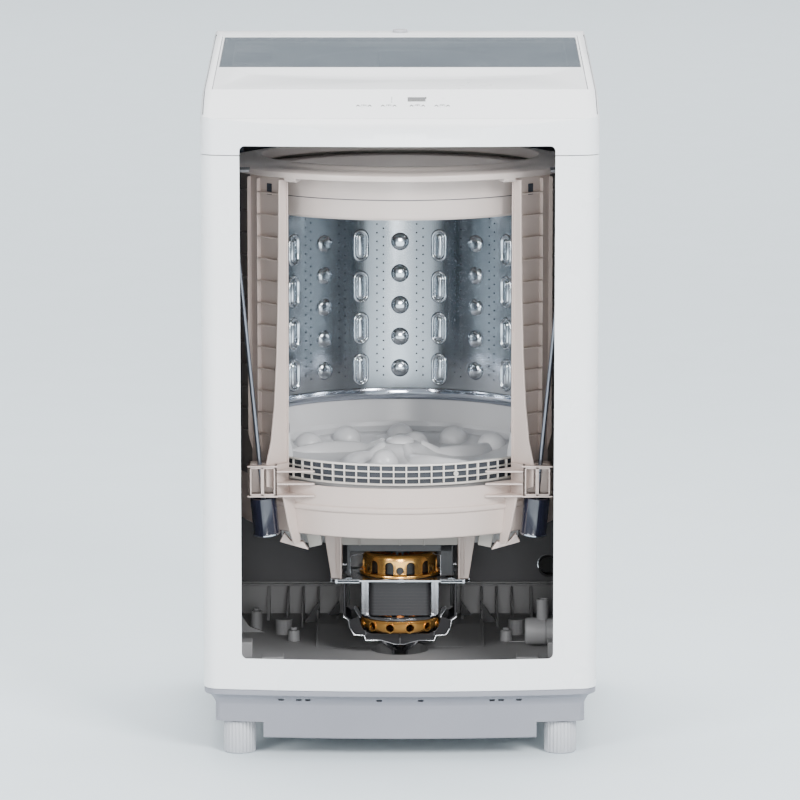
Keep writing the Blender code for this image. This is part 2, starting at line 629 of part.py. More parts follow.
def build_outer_tub():
    tub = turned("outer_tub", tub_ring(), "tub_plastic")
    inner, outer = 0.155, LUG_CENTRE + LUG_HALF
    for side, sx in SIDES.items():
        for end, sy in ENDS.items():
            place = "%s_%s" % (end, side)
            low = (min(sx * inner, sx * outer), min(sy * inner, sy * outer), 0.338)
            high = (max(sx * inner, sx * outer), max(sy * inner, sy * outer), 0.390)
            join(tub, put_tool("lug_" + place, block("lug", low, high)))
            leg = [(0.0805, 0.2073), (0.0955, 0.2073), (0.1100, 0.3020), (0.0805, 0.3020)]
            leg = [(sx * x, z) for x, z in leg]
            near, far = sorted((sy * 0.036, sy * 0.058))
            join(tub, put_tool("leg_" + place, slab("leg", [leg], near, far, "XZ")))
        fin = [(0.2300, 0.772), (0.2440, 0.772), (0.2460, 0.600), (0.2520, 0.480), (0.2640, 0.400),
               (0.2640, 0.352), (0.2300, 0.345)]
        fin = slab("fin", [fin], -0.0015, 0.0015, "XZ")
        turned_by = math.radians(-90 + sx * (TUB_CUT_HALF_ANGLE + 0.6))
        join(tub, put_tool("fin_" + side, fin, rotation=(0, 0, turned_by)))
    cut(tub, put_tool("tub_bore", rod("tub_bore", TUB_BORE_RADIUS, 0.330, 0.90, RING_STEPS)))
    for side, sx in SIDES.items():
        for end, sy in ENDS.items():
            place = "%s_%s" % (end, side)
            room = LUG_HALF - 0.004
            centre = (sx * LUG_CENTRE, sy * LUG_CENTRE, 0)
            hollow = block("lug_hollow", (-room, -room, 0.32), (room, room, 0.40))
            cut(tub, put_tool("lug_hollow_" + place, hollow, centre))
    opening = slab("tub_opening", [front_sector(TUB_CUT_HALF_ANGLE, TUB_CUT_REACH)], TUB_CUT_BOTTOM, 0.90)
    cut(tub, put_tool("tub_opening", opening))

    cover = [(0.1900, 0.7925), (0.2365, 0.7855), (0.2400, 0.7830), (0.2400, 0.7760), (0.2370, 0.7760),
             (0.2370, 0.7822), (0.1930, 0.7888), (0.1930, 0.7800), (0.1900, 0.7800)]
    turned("tub_cover", cover, "tub_plastic")


# Drum, on its own spin axis

def build_drum():
    sector = [front_sector(DRUM_CUT_HALF_ANGLE)]
    inner = DRUM_RADIUS - DRUM_SHEET
    shell = [(DRUM_RADIUS, 0.7205), (DRUM_RADIUS, 0.4375), (inner, 0.4375), (inner, 0.7205)]
    shell = turned("drum_shell", shell, "stainless")
    cut(shell, put_tool("shell_opening", slab("shell_opening", sector, 0.40, 0.80)))
    trim = [(0.2005, 0.4370), (0.2005, 0.4220), (0.1968, 0.4220), (0.1968, 0.4370)]
    trim = turned("drum_trim_ring", trim, "chrome")
    cut(trim, put_tool("trim_opening", slab("trim_opening", sector, 0.40, 0.80)))
    ring = [(0.2035, 0.7745), (0.2035, 0.7480), (0.2023, 0.7465), (0.2020, 0.7210), (0.1750, 0.7210),
            (0.1720, 0.7300), (0.1720, 0.7720), (0.1745, 0.7745)]
    turned("balance_ring", ring, "tub_plastic")
    base = [(0.1980, 0.4215), (0.1980, 0.3585), (0.1900, 0.3505), (0.1200, 0.3450), (0.0170, 0.3450),
            (0.0170, 0.3500), (0.1180, 0.3500), (0.1720, 0.3560), (0.1735, 0.3790), (0.1905, 0.3830),
            (0.1950, 0.3930), (0.1950, 0.4215)]
    base = turned("drum_base", base, "drum_plastic")
    cut(base, put_tool("base_opening", slab("base_opening", sector, DRUM_BASE_CUT_Z, 0.50)))
    flange = [(0.1100, 0.3447), (0.1100, 0.3380), (0.0320, 0.3340), (0.0300, 0.3180), (0.0168, 0.3180),
              (0.0168, 0.3447)]
    turned("drum_flange", flange, "aluminium")
    bore = SHAFT_RADIUS + RUNNING_GAP
    tube = [(SPIN_TUBE_RADIUS, 0.3440), (SPIN_TUBE_RADIUS, 0.2250), (bore, 0.2250), (bore, 0.3440)]
    turned("spin_tube", tube, "steel", steps=SHAFT_STEPS)


def build_pulsator():
    bore = SHAFT_RADIUS + GAP
    disc = [(0.0300, 0.3900), (0.0550, 0.3740), (0.1200, 0.3690), (0.1580, 0.3740), (0.1690, 0.3800),
            (0.1700, 0.3740), (0.1600, 0.3620), (0.1200, 0.3600), (bore, 0.3600), (bore, 0.3900)]
    pulsator = turned("pulsator", disc, "drum_plastic")
    for index in range(4):
        vane = block("vane", (0.035, -0.006, 0.364), (0.140, 0.006, 0.3835))
        join(pulsator, put_tool("vane_%d" % index, vane, rotation=(0, 0, math.radians(45 + 90 * index))))
    cap = [(0, 0.3985), (0.0140, 0.3975), (0.0200, 0.3903), (0, 0.3903)]
    turned("pulsator_cap", cap, "drum_plastic", steps=SHAFT_STEPS, closed=False)
    shaft = [(0, 0.3890), (SHAFT_RADIUS, 0.3890), (SHAFT_RADIUS, 0.1290), (0, 0.1290)]
    turned("drive_shaft", shaft, "steel", steps=SHAFT_STEPS, closed=False)
    rotor = [(0.0290, 0.1980), (0.0290, 0.1600), (bore, 0.1600), (bore, 0.1980)]
    turned("rotor", rotor, "steel", steps=SHAFT_STEPS)


# Motor and clutch under the tub

def build_motor():
    ring_of_bearing = [(0.0295, 0.2840), (0.0295, 0.2720), (0.0169, 0.2720), (0.0169, 0.2840)]
    turned("main_bearing", ring_of_bearing, "steel", steps=SHAFT_STEPS)
    seal = [(0.0295, 0.2960), (0.0295, 0.2860), (0.0169, 0.2860), (0.0169, 0.2960)]
    turned("main_seal", seal, "rubber", steps=SHAFT_STEPS)

    bell = [(0.0420, 0.2382), (0.0490, 0.2375), (0.0515, 0.2350), (0.0520, 0.2310), (0.0520, 0.2073),
            (0.0500, 0.2073), (0.0500, 0.2310), (0.0480, 0.2350), (0.0420, 0.2360), (0.0400, 0.2310),
            (0.0175, 0.2310), (0.0175, 0.2330), (0.0385, 0.2330), (0.0405, 0.2375)]
    bell = turned("clutch_housing", bell, "gold_paint", steps=MOTOR_STEPS)
    openings = ((-0.0148, 0.200, 0.2290, 0.0062), (0.0148, 0.200, 0.2290, 0.0062),
                (0.0, 0.2115, 0.2225, 0.0055))
    for index, (x, low, high, half) in enumerate(openings):
        slot = slab("bell_slot", [rounded_rectangle((x - half, low), (x + half, high), half * 0.98)],
                    -0.065, -0.040, "XZ")
        cut(bell, put_tool("bell_slot_%d" % index, slot))

    plate_outline = rounded_rectangle((-0.0965, -0.062), (0.0965, 0.062), 0.010)
    plate = slab("motor_mount_plate", [plate_outline, circle(0.0465, steps=MOTOR_STEPS)], 0.2020, 0.2070)
    put("motor_mount_plate", plate, "aluminium")

    core = rounded_rectangle((-0.0430, -0.0430), (0.0430, 0.0430), 0.008, 2)
    put("stator", slab("stator", [core, circle(0.0300, steps=SHAFT_STEPS)], 0.1530, 0.2010), "stator_black")
    rings = [circle(0.0560, steps=MOTOR_STEPS), circle(0.0460, steps=MOTOR_STEPS)]
    frame = put("motor_frame", slab("motor_frame", rings, 0.1460, 0.1510), "aluminium")
    for index, (sx, sy) in enumerate(((-1, -1), (1, -1), (1, 1), (-1, 1))):
        post = rod("motor_post", 0.0047, 0.1480, 0.2017, 12)
        join(frame, put_tool("motor_post_%d" % index, post, (sx * 0.0482, sy * 0.0200, 0)))

    upper = [(0.0440, 0.2180), (0.0455, 0.2140), (0.0455, 0.2013), (0.0360, 0.2013), (0.0360, 0.2140),
             (0.0375, 0.2180)]
    turned("winding_upper", upper, "copper", steps=MOTOR_STEPS)
    lower = [(0.0455, 0.1527), (0.0455, 0.1390), (0.0440, 0.1360), (0.0330, 0.1360), (0.0320, 0.1390),
             (0.0320, 0.1527)]
    turned("winding_lower", lower, "copper", steps=MOTOR_STEPS)
    bowl = [(0.0540, 0.1457), (0.0540, 0.1370), (0.0460, 0.1262), (0.0130, 0.1262), (0.0130, 0.1282),
            (0.0452, 0.1282), (0.0520, 0.1380), (0.0520, 0.1457)]
    turned("motor_lower_bell", bowl, "gold_paint", steps=MOTOR_STEPS)

    outer = [(0.0790, 0.2017), (0.0790, 0.1500), (0.0720, 0.1450), (0.0705, 0.1340), (0.0640, 0.1242),
             (0.0500, 0.1225), (0.0475, 0.1155)]
    inner = [(0.0448, 0.1185), (0.0475, 0.1255), (0.0620, 0.1272), (0.0672, 0.1350), (0.0688, 0.1462),
             (0.0755, 0.1510), (0.0755, 0.2017)]
    cradle = [(-x, z) for x, z in outer] + outer[::-1] + inner[::-1] + [(-x, z) for x, z in inner]
    cradle = put("motor_bracket", slab("motor_bracket", [cradle], -0.035, 0.035, "XZ"), "black_metal")
    cut(cradle, put_tool("cradle_hole", rod("cradle_hole", 0.0120, 0.10, 0.13, 24)))
    hub = [(0, 0.1152), (0.0300, 0.1152), (0.0300, 0.1125), (0.0130, 0.1050), (0.0110, 0.0900), (0, 0.0880)]
    turned("motor_hub", hub, "aluminium", steps=SHAFT_STEPS, closed=False)


clear_scene()
PARTS = new_collection("top_load_washing_machine")
CUTTERS = new_collection("cutters")
build_cabinet()
build_base()
build_top_cover()
build_lid()
build_controls()
build_water_supply()
build_rear_fittings()
build_suspension()
build_outer_tub()
build_drum()
build_pulsator()
build_motor()
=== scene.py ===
import math

import bmesh
import bpy
from mathutils import Matrix, Vector


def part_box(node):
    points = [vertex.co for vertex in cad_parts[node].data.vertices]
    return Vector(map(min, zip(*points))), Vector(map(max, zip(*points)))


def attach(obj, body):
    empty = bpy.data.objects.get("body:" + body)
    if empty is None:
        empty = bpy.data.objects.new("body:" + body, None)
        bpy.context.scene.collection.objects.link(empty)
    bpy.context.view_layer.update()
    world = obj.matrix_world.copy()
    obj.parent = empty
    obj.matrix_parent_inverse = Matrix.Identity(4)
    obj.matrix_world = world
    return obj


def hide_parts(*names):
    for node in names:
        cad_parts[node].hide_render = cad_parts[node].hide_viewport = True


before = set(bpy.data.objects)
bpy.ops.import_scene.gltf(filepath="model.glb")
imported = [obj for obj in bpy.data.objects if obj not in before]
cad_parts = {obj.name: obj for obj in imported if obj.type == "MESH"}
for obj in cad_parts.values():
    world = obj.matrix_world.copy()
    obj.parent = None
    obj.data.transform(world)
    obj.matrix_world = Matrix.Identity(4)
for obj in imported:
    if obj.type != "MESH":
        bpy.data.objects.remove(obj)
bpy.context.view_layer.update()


# Geometry builder

def polar(radius, angle, z=0.0):
    return Vector((radius * math.cos(angle), radius * math.sin(angle), z))


def rounded_rectangle(low, high, radius, arc_steps=6):
    (u0, v0), (u1, v1) = low, high
    centres = [(u1 - radius, v0 + radius), (u1 - radius, v1 - radius),
               (u0 + radius, v1 - radius), (u0 + radius, v0 + radius)]
    points = []
    for quarter, (cu, cv) in enumerate(centres):
        for step in range(arc_steps + 1):
            angle = math.radians(-90 + 90 * (quarter + step / arc_steps))
            points.append((cu + radius * math.cos(angle), cv + radius * math.sin(angle)))
    return points


def circle(radius, centre=(0, 0), steps=48):
    angles = [2 * math.pi * i / steps for i in range(steps)]
    return [(centre[0] + radius * math.cos(a), centre[1] + radius * math.sin(a)) for a in angles]


PLANES = {
    "XY": Matrix.Identity(4),
    "XZ": Matrix(((1, 0, 0, 0), (0, 0, -1, 0), (0, 1, 0, 0), (0, 0, 0, 1))),
    "YZ": Matrix(((0, 0, 1, 0), (1, 0, 0, 0), (0, 1, 0, 0), (0, 0, 0, 1))),
}


class Shape:
    """Closed shells gathered into one mesh. Each call adds one shell, in world metres."""

    def __init__(self):
        self.mesh = bmesh.new()

    def shell(self, points, faces, place=None):
        place = place or Matrix.Identity(4)
        verts = [self.mesh.verts.new(place @ Vector(p)) for p in points]
        for face in faces:
            corners = [verts[i] for i in face]
            if len(set(corners)) > 2:
                self.mesh.faces.new(corners)

    def lathe(self, outline, steps=128, arc=None, place=None):
        """Turns a closed outline of (radius, height) about Z, all round or over an arc in degrees."""
        start, end = arc or (0, 360)
        rings = steps if arc is None else steps + 1
        count = len(outline)
        points = []
        for i in range(rings):
            angle = math.radians(start + (end - start) * i / steps)
            points += [polar(r, angle, z) for r, z in outline]
        faces = []
        for i in range(steps):
            a, b = i * count, ((i + 1) % rings) * count
            faces += [(a + j, b + j, b + (j + 1) % count, a + (j + 1) % count) for j in range(count)]
        if arc is not None:
            faces.append(tuple(range(count)))
            faces.append(tuple(reversed(range((rings - 1) * count, rings * count))))
        self.shell(points, faces, place)
        return self

    def prism(self, outline, low, high, plane="XY", place=None):
        """Flat outline given a thickness between low and high across its plane."""
        count = len(outline)
        points = [(u, v, low) for u, v in outline] + [(u, v, high) for u, v in outline]
        faces = [tuple(reversed(range(count))), tuple(range(count, 2 * count))]
        faces += [(i, (i + 1) % count, count + (i + 1) % count, count + i) for i in range(count)]
        turned = PLANES[plane].copy()
        if plane == "XZ":
            turned = turned @ Matrix.Translation((0, 0, -(low + high)))
        self.shell(points, faces, (place or Matrix.Identity(4)) @ turned)
        return self

    def block(self, low, high, place=None):
        outline = [(low[0], low[1]), (high[0], low[1]), (high[0], high[1]), (low[0], high[1])]
        return self.prism(outline, low[2], high[2], place=place)

    def cylinder(self, radius, low, high, steps=32, place=None, top=None):
        top = radius if top is None else top
        points = [polar(radius, 2 * math.pi * i / steps, low) for i in range(steps)]
        points += [polar(top, 2 * math.pi * i / steps, high) for i in range(steps)]
        faces = [tuple(reversed(range(steps))), tuple(range(steps, 2 * steps))]
        faces += [(i, (i + 1) % steps, steps + (i + 1) % steps, steps + i) for i in range(steps)]
        self.shell(points, faces, place)
        return self

    def band(self, outer, inner, low, high, place=None):
        """Upright wall between two plan outlines that have the same number of points."""
        count = len(outer)
        points = [(x, y, z) for z in (low, high) for loop in (outer, inner) for x, y in loop]
        o0, i0, o1, i1 = 0, count, 2 * count, 3 * count
        faces = []
        for k in range(count):
            n = (k + 1) % count
            faces += [(o0 + k, o0 + n, o1 + n, o1 + k), (i0 + n, i0 + k, i1 + k, i1 + n),
                      (o1 + k, o1 + n, i1 + n, i1 + k), (o0 + n, o0 + k, i0 + k, i0 + n)]
        self.shell(points, faces, place)
        return self

    def sweep(self, path, radius, sides=12):
        """Round rod along a list of points."""
        points = []
        for i, p in enumerate(path):
            ahead = path[min(i + 1, len(path) - 1)] - path[max(i - 1, 0)]
            frame_turn = Vector((0, 0, 1)).rotation_difference(ahead).to_matrix()
            points += [p + frame_turn @ polar(radius, 2 * math.pi * k / sides) for k in range(sides)]
        faces = [tuple(reversed(range(sides))), tuple(range((len(path) - 1) * sides, len(path) * sides))]
        for i in range(len(path) - 1):
            a, b = i * sides, (i + 1) * sides
            faces += [(a + k, a + (k + 1) % sides, b + (k + 1) % sides, b + k) for k in range(sides)]
        self.shell(points, faces)
        return self


def object_from(shape, name):
    bmesh.ops.recalc_face_normals(shape.mesh, faces=shape.mesh.faces)
    mesh = bpy.data.meshes.new(name)
    shape.mesh.to_mesh(mesh)
    shape.mesh.free()
    body = bpy.data.objects.new(name, mesh)
    bpy.context.scene.collection.objects.link(body)
    return body


def carve(body, shape, operation="DIFFERENCE"):
    """Cuts, joins or crosses a body with another shape and keeps only the result."""
    tool = object_from(shape, "tool")
    modifier = body.modifiers.new("carve", "BOOLEAN")
    modifier.operation = operation
    modifier.solver = "EXACT"
    modifier.object = tool
    modifier.material_mode = "TRANSFER"
    graph = bpy.context.evaluated_depsgraph_get()
    made = bpy.data.meshes.new_from_object(body.evaluated_get(graph))
    body.modifiers.remove(modifier)
    body.data = made
    bpy.data.objects.remove(tool, do_unlink=True)
    return body


def settle(body, materials, rider, slot, nodes=(), bevel=0.0, angle=35, segments=2):
    """Gives a piece its materials, soft edges and smooth shading, and ties it to its body."""
    body.data.materials.clear()
    for material in materials if isinstance(materials, (list, tuple)) else [materials]:
        body.data.materials.append(material)
    if bevel:
        edges = body.modifiers.new("edges", "BEVEL")
        edges.width = bevel
        edges.segments = segments
        edges.limit_method = "ANGLE"
        edges.angle_limit = math.radians(angle)
        edges.use_clamp_overlap = True
    body.data.shade_smooth()
    body.data.set_sharp_from_angle(angle=math.radians(angle))
    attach(body, rider)
    if nodes:
        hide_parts(*([nodes] if isinstance(nodes, str) else nodes))
    return body


def piece(name, shape, materials, rider, slot, nodes=(), **soften):
    return settle(object_from(shape, name), materials, rider, slot, nodes, **soften)


# Materials

def material(name, colour, roughness, metallic=0.0, grain=900.0, bump=0.05, tint=0.03, spread=0.05,
             cloud=7.0, stretch=(1, 1, 1), coat=0.0):
    """Procedural finish: fine grain in the bump, slow clouds in the colour and in the roughness."""
    made = bpy.data.materials.new(name)
    made.use_nodes = True
    tree = made.node_tree
    shader = tree.nodes["Principled BSDF"]
    shader.inputs["Metallic"].default_value = metallic
    shader.inputs["Coat Weight"].default_value = coat
    place = tree.nodes.new("ShaderNodeTexCoord")
    mapping = tree.nodes.new("ShaderNodeMapping")
    mapping.inputs["Scale"].default_value = stretch
    tree.links.new(place.outputs["Object"], mapping.inputs["Vector"])

    clouds = tree.nodes.new("ShaderNodeTexNoise")
    clouds.inputs["Scale"].default_value = cloud
    clouds.inputs["Detail"].default_value = 4.0
    tree.links.new(mapping.outputs["Vector"], clouds.inputs["Vector"])
    shades = tree.nodes.new("ShaderNodeValToRGB")
    shades.color_ramp.elements[0].position = 0.3
    shades.color_ramp.elements[1].position = 0.7
    shades.color_ramp.elements[0].color = (*[c * (1 - tint) for c in colour], 1)
    shades.color_ramp.elements[1].color = (*[min(1.0, c * (1 + tint)) for c in colour], 1)
    tree.links.new(clouds.outputs["Fac"], shades.inputs["Fac"])
    tree.links.new(shades.outputs["Color"], shader.inputs["Base Color"])

    fine = tree.nodes.new("ShaderNodeTexNoise")
    fine.inputs["Scale"].default_value = grain
    fine.inputs["Detail"].default_value = 3.0
    tree.links.new(mapping.outputs["Vector"], fine.inputs["Vector"])
    rough = tree.nodes.new("ShaderNodeMapRange")
    rough.inputs["From Min"].default_value = 0.3
    rough.inputs["From Max"].default_value = 0.7
    rough.inputs["To Min"].default_value = max(0.02, roughness - spread)
    rough.inputs["To Max"].default_value = min(1.0, roughness + spread)
    tree.links.new(clouds.outputs["Fac"], rough.inputs["Value"])
    tree.links.new(rough.outputs["Result"], shader.inputs["Roughness"])
    relief = tree.nodes.new("ShaderNodeBump")
    relief.inputs["Strength"].default_value = bump
    relief.inputs["Distance"].default_value = 0.0006
    tree.links.new(fine.outputs["Fac"], relief.inputs["Height"])
    tree.links.new(relief.outputs["Normal"], shader.inputs["Normal"])
    return made


def glass_material(name, colour, roughness, alpha):
    made = material(name, colour, roughness, bump=0.01, tint=0.05, coat=0.6)
    shader = made.node_tree.nodes["Principled BSDF"]
    shader.inputs["Alpha"].default_value = alpha
    shader.inputs["IOR"].default_value = 1.5
    return made


WHITE_PAINT = material("white_paint", (0.80, 0.81, 0.82), 0.27, bump=0.03, coat=0.35, tint=0.012)
WHITE_PLASTIC = material("white_plastic", (0.80, 0.81, 0.825), 0.30, bump=0.04, coat=0.2, tint=0.012)
# Dark steel for the hanger brackets, also laid on inward faces of the cabinet and the top cover as painted
# shade inside the casing.
STEEL_AND_PAINTED_SHADE = material("steel_and_painted_shade", (0.075, 0.075, 0.08), 0.55, metallic=0.3, grain=300, tint=0.10)
# Near-black for the mouth collar: painted shade inside the lid opening, on a part that is white plastic.
COLLAR_PAINTED_SHADE = material("collar_painted_shade", (0.045, 0.042, 0.042), 0.50, grain=900, bump=0.1, tint=0.08)
EDGE_STEEL = material("cut_edge", (0.78, 0.79, 0.80), 0.30, metallic=0.2, tint=0.05)
PLINTH_GREY = material("plinth_grey", (0.205, 0.207, 0.235), 0.42, grain=1400, bump=0.12)
FOOT_GREY = material("foot_grey", (0.44, 0.445, 0.47), 0.45, grain=1200, bump=0.10)
PAN_GREY = material("pan_grey", (0.24, 0.24, 0.245), 0.50, grain=700, bump=0.15, tint=0.10)
TUB_PLASTIC = material("tub_plastic", (0.47, 0.385, 0.345), 0.40, grain=1100, bump=0.10, tint=0.04)
# Two darker copies of the tub plastic, both painted shade: the first on the tub's inner faces, the stays and
# the apron, the darker one on the tub's outer sides away from the cut.
TUB_SHADE = material("tub_shade", (0.27, 0.25, 0.225), 0.45, grain=1100, bump=0.10, tint=0.04)
TUB_REAR_PAINTED_SHADE = material("tub_rear_painted_shade", (0.15, 0.135, 0.125), 0.50, grain=1100, bump=0.10, tint=0.05)
RING_PLASTIC = material("ring_plastic", (0.46, 0.395, 0.365), 0.34, grain=1100, bump=0.06, tint=0.03)
BASE_PLASTIC = material("base_plastic", (0.50, 0.50, 0.51), 0.33, grain=1000, bump=0.06, tint=0.03)
LATTICE_PLASTIC = material("lattice_plastic", (0.70, 0.66, 0.61), 0.38, grain=1000, bump=0.06, tint=0.03)
STAINLESS = material("stainless", (0.36, 0.385, 0.41), 0.17, metallic=1.0, grain=60, bump=0.03, tint=0.06,
                     spread=0.05, cloud=3.0, stretch=(18, 18, 1))
DOME_STEEL = material("dome_steel", (0.56, 0.60, 0.64), 0.13, metallic=1.0, grain=80, bump=0.02, tint=0.04)
# Near-black used as painted shade in holes, slots and behind the lattice, and as the colour of the balance
# ring's joint line.
HOLE_SHADE_AND_JOINT = material("hole_shade_and_joint", (0.03, 0.035, 0.045), 0.6, tint=0.2)
CHROME = material("chrome", (0.62, 0.66, 0.74), 0.10, metallic=1.0, grain=200, bump=0.01, tint=0.05)
NAVY_GLOSS = material("navy_gloss", (0.012, 0.013, 0.024), 0.16, grain=500, bump=0.02, tint=0.15, coat=0.8)
ROD_STEEL = material("rod_steel", (0.20, 0.21, 0.24), 0.30, metallic=0.9, grain=800, bump=0.05, tint=0.08)
SILVER = material("silver_cast", (0.46, 0.47, 0.49), 0.26, metallic=1.0, grain=700, bump=0.12, tint=0.08)
GOLD = material("gold_steel", (0.95, 0.50, 0.14), 0.24, metallic=0.9, grain=500, bump=0.04, tint=0.10)
COPPER = material("copper_wire", (0.50, 0.17, 0.05), 0.35, metallic=1.0, grain=900, bump=0.4, tint=0.25)
STATOR_DARK = material("stator_dark", (0.033, 0.033, 0.036), 0.50, metallic=0.2, grain=900, bump=0.15,
                       tint=0.12)
BLACK_METAL = material("black_metal", (0.006, 0.006, 0.008), 0.36, metallic=0.1, grain=900, bump=0.06,
                       tint=0.15)
RUBBER = material("black_rubber", (0.02, 0.02, 0.021), 0.75, grain=900, bump=0.2, tint=0.15)
DISPLAY = material("display_black", (0.012, 0.014, 0.018), 0.12, tint=0.10, coat=0.8)
MARK_GREY = material("mark_grey", (0.025, 0.027, 0.032), 0.45, tint=0.05)
BOARD_GREEN = material("board_green", (0.03, 0.15, 0.07), 0.45, grain=500, bump=0.10, tint=0.12)
SCREW_STEEL = material("screw_steel", (0.45, 0.46, 0.48), 0.32, metallic=1.0, grain=900, bump=0.1, tint=0.06)
LID_GLASS = glass_material("lid_glass_tint", (0.085, 0.115, 0.145), 0.06, 0.70)


# Sizes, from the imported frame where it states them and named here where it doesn't

CABINET_LOW, CABINET_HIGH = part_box("cabinet")
TOP_LOW, TOP_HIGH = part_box("top_cover")
WIDTH = TOP_HIGH.x - TOP_LOW.x
DEPTH = TOP_HIGH.y - TOP_LOW.y
SEAM_Z = TOP_LOW.z
REAR_STEP = TOP_HIGH.y - CABINET_HIGH.y
SHEET = 0.002
SKIN = 0.003
BULGE = 0.022
CORNER = 0.025
WINDOW = ((-0.2125, 0.136), (0.2055, 0.826))
WINDOW_RADIUS = 0.007
LID_FRONT, LID_REAR = Vector((0, -0.170, 0.8945)), Vector((0, 0.210, 0.940))
LID_HALF, LID_THICKNESS = 0.2505, 0.012
GLASS_START, GLASS_END = 0.151, 0.3715
MOUTH_RADIUS, MOUTH_Y = 0.172, 0.020
FASCIA_START = Vector((0, -0.249, 0.8620))
CUT_ANGLE = 41.5
DRUM_CUT_ANGLE = 50.0
TUB_ARC = (-90 + CUT_ANGLE, 270 - CUT_ANGLE)
DRUM_ARC = (-90 + DRUM_CUT_ANGLE, 270 - DRUM_CUT_ANGLE)
DRUM_INNER = 0.1985
SIDES = {"left": -1, "right": 1}
ENDS = {"front": -1, "rear": 1}

lid_run = LID_REAR - LID_FRONT
LID_SLOPE = math.atan2(lid_run.z, lid_run.y)
LID_LENGTH = lid_run.length
LID_PLACE = Matrix.Translation(LID_FRONT) @ Matrix.Rotation(LID_SLOPE, 4, "X")
FASCIA_SLOPE = math.atan2(LID_FRONT.z - FASCIA_START.z, LID_FRONT.y - FASCIA_START.y)


def fascia_place(x, y, proud=0.0):
    """Frame of a point on the fascia, with Z out of its face."""
    z = FASCIA_START.z + (y - FASCIA_START.y) * math.tan(FASCIA_SLOPE)
    tilt = Matrix.Rotation(FASCIA_SLOPE, 4, "X")
    return Matrix.Translation((x, y, z)) @ tilt @ Matrix.Translation((0, 0, proud))


def front_y(x, inset=0.0):
    return -DEPTH / 2 + inset + BULGE * (x / (WIDTH / 2)) ** 2


def cabinet_outline(inset, rear_step=REAR_STEP, front_steps=28, arc_steps=10):
    """Plan of the cabinet: a bowed front, rounded front corners and tighter rear corners."""
    half = WIDTH / 2 - inset
    radius = max(CORNER - inset, 0.002)
    arc_x = half - radius
    for _ in range(4):
        slope = math.atan(2 * BULGE * arc_x / (WIDTH / 2) ** 2)
        arc_x = half - radius * (1 - math.sin(slope))
    centre = (arc_x - radius * math.sin(slope), front_y(arc_x, inset) + radius * math.cos(slope))
    right = [(arc_x * i / front_steps, front_y(arc_x * i / front_steps, inset)) for i in range(front_steps)]
    start = -math.pi / 2 + slope
    for step in range(arc_steps + 1):
        angle = start * (1 - step / arc_steps)
        right.append((centre[0] + radius * math.cos(angle), centre[1] + radius * math.sin(angle)))
    rear = DEPTH / 2 - rear_step - inset
    rear_radius = radius * 0.6
    for step in range(arc_steps + 1):
        angle = math.pi / 2 * step / arc_steps
        right.append((half - rear_radius * (1 - math.cos(angle)), rear - rear_radius * (1 - math.sin(angle))))
    left = [(-x, y) for x, y in reversed(right) if x > 0]
    return right + left


def wrap(shape, section, rear_step=REAR_STEP):
    """Carries a closed section of (inset, height) round the cabinet's plan."""
    loops = [cabinet_outline(inset, rear_step) for inset, _ in section]
    count = len(loops[0])
    points = [(x, y, z) for loop, (_, z) in zip(loops, section) for x, y in loop]
    faces = []
    for i in range(len(section)):
        a, b = i * count, ((i + 1) % len(section)) * count
        faces += [(a + k, b + k, b + (k + 1) % count, a + (k + 1) % count) for k in range(count)]
    shape.shell(points, faces)
    return shape


def classify(body, rule):
    """Chooses each face's material slot from its middle and its normal."""
    for face in body.data.polygons:
        face.material_index = rule(face.center, face.normal)


# Casing

def make_cabinet():
    low, high = CABINET_LOW.z, CABINET_HIGH.z
    lip = 0.0008
    section = [(lip, high), (0, high - lip), (0, low + lip), (lip, low), (SHEET, low), (SHEET, high)]
    body = object_from(wrap(Shape(), section), "cabinet_wrap")
    window = Shape().prism(rounded_rectangle(*WINDOW, WINDOW_RADIUS), -0.30, -0.20, "XZ")
    carve(body, window)
    carve(body, Shape().prism(rounded_rectangle((-0.172, 0.200), (0.172, 0.700), 0.012), 0.22, 0.30, "XZ"))
    for x, z, radius in ((-0.215, 0.752, 0.0085), (0.215, 0.168, 0.0150)):
        carve(body, Shape().prism(circle(radius, (x, z), 24), 0.24, 0.28, "XZ"))

    # Inward faces take the dark colour as painted shade inside the cabinet; the window's cut faces take the
    # cut-edge colour.
    def rule(centre, normal):
        outward = Vector((centre.x, centre.y, 0)).normalized().dot(normal)
        in_window = centre.y < -0.20 and abs(normal.y) < 0.5 and abs(centre.x) < 0.2135
        if in_window:
            return 2
        return 1 if outward < -0.3 else 0

    settle(body, [WHITE_PAINT, STEEL_AND_PAINTED_SHADE, EDGE_STEEL], "root", "white_panel", "cabinet", angle=30)
    classify(body, rule)


def make_rear_panel():
    shape = Shape().prism(rounded_rectangle((-0.186, 0.186), (0.186, 0.714), 0.012), 0.2668, 0.2683, "XZ")
    for index in range(4):
        z = 0.270 + 0.120 * index
        shape.prism(rounded_rectangle((-0.150, z), (0.150, z + 0.024), 0.010), 0.2678, 0.2695, "XZ")
    piece("rear_service_panel", shape, WHITE_PAINT, "root", "white_panel", "rear_panel", bevel=0.0006)
    screws = Shape()
    for x in (-0.178, 0.178):
        for z in (0.195, 0.370, 0.530, 0.705):
            screws.prism(circle(0.0042, (x, z), 20), 0.2682, 0.2697, "XZ")
    piece("rear_panel_screws", screws, SCREW_STEEL, "root", "steel", bevel=0.0004)
    # Vent slots drawn as near-black strips: painted shade in the slots.
    vents = Shape()
    for row in range(6):
        for x in (-0.045, 0.0, 0.045):
            z = 0.725 + 0.011 * row
            vents.prism(rounded_rectangle((x - 0.016, z), (x + 0.016, z + 0.004), 0.0019), 0.2664, 0.26675,
                        "XZ")
    piece("rear_vent_slots", vents, HOLE_SHADE_AND_JOINT, "root", "dark_plastic")


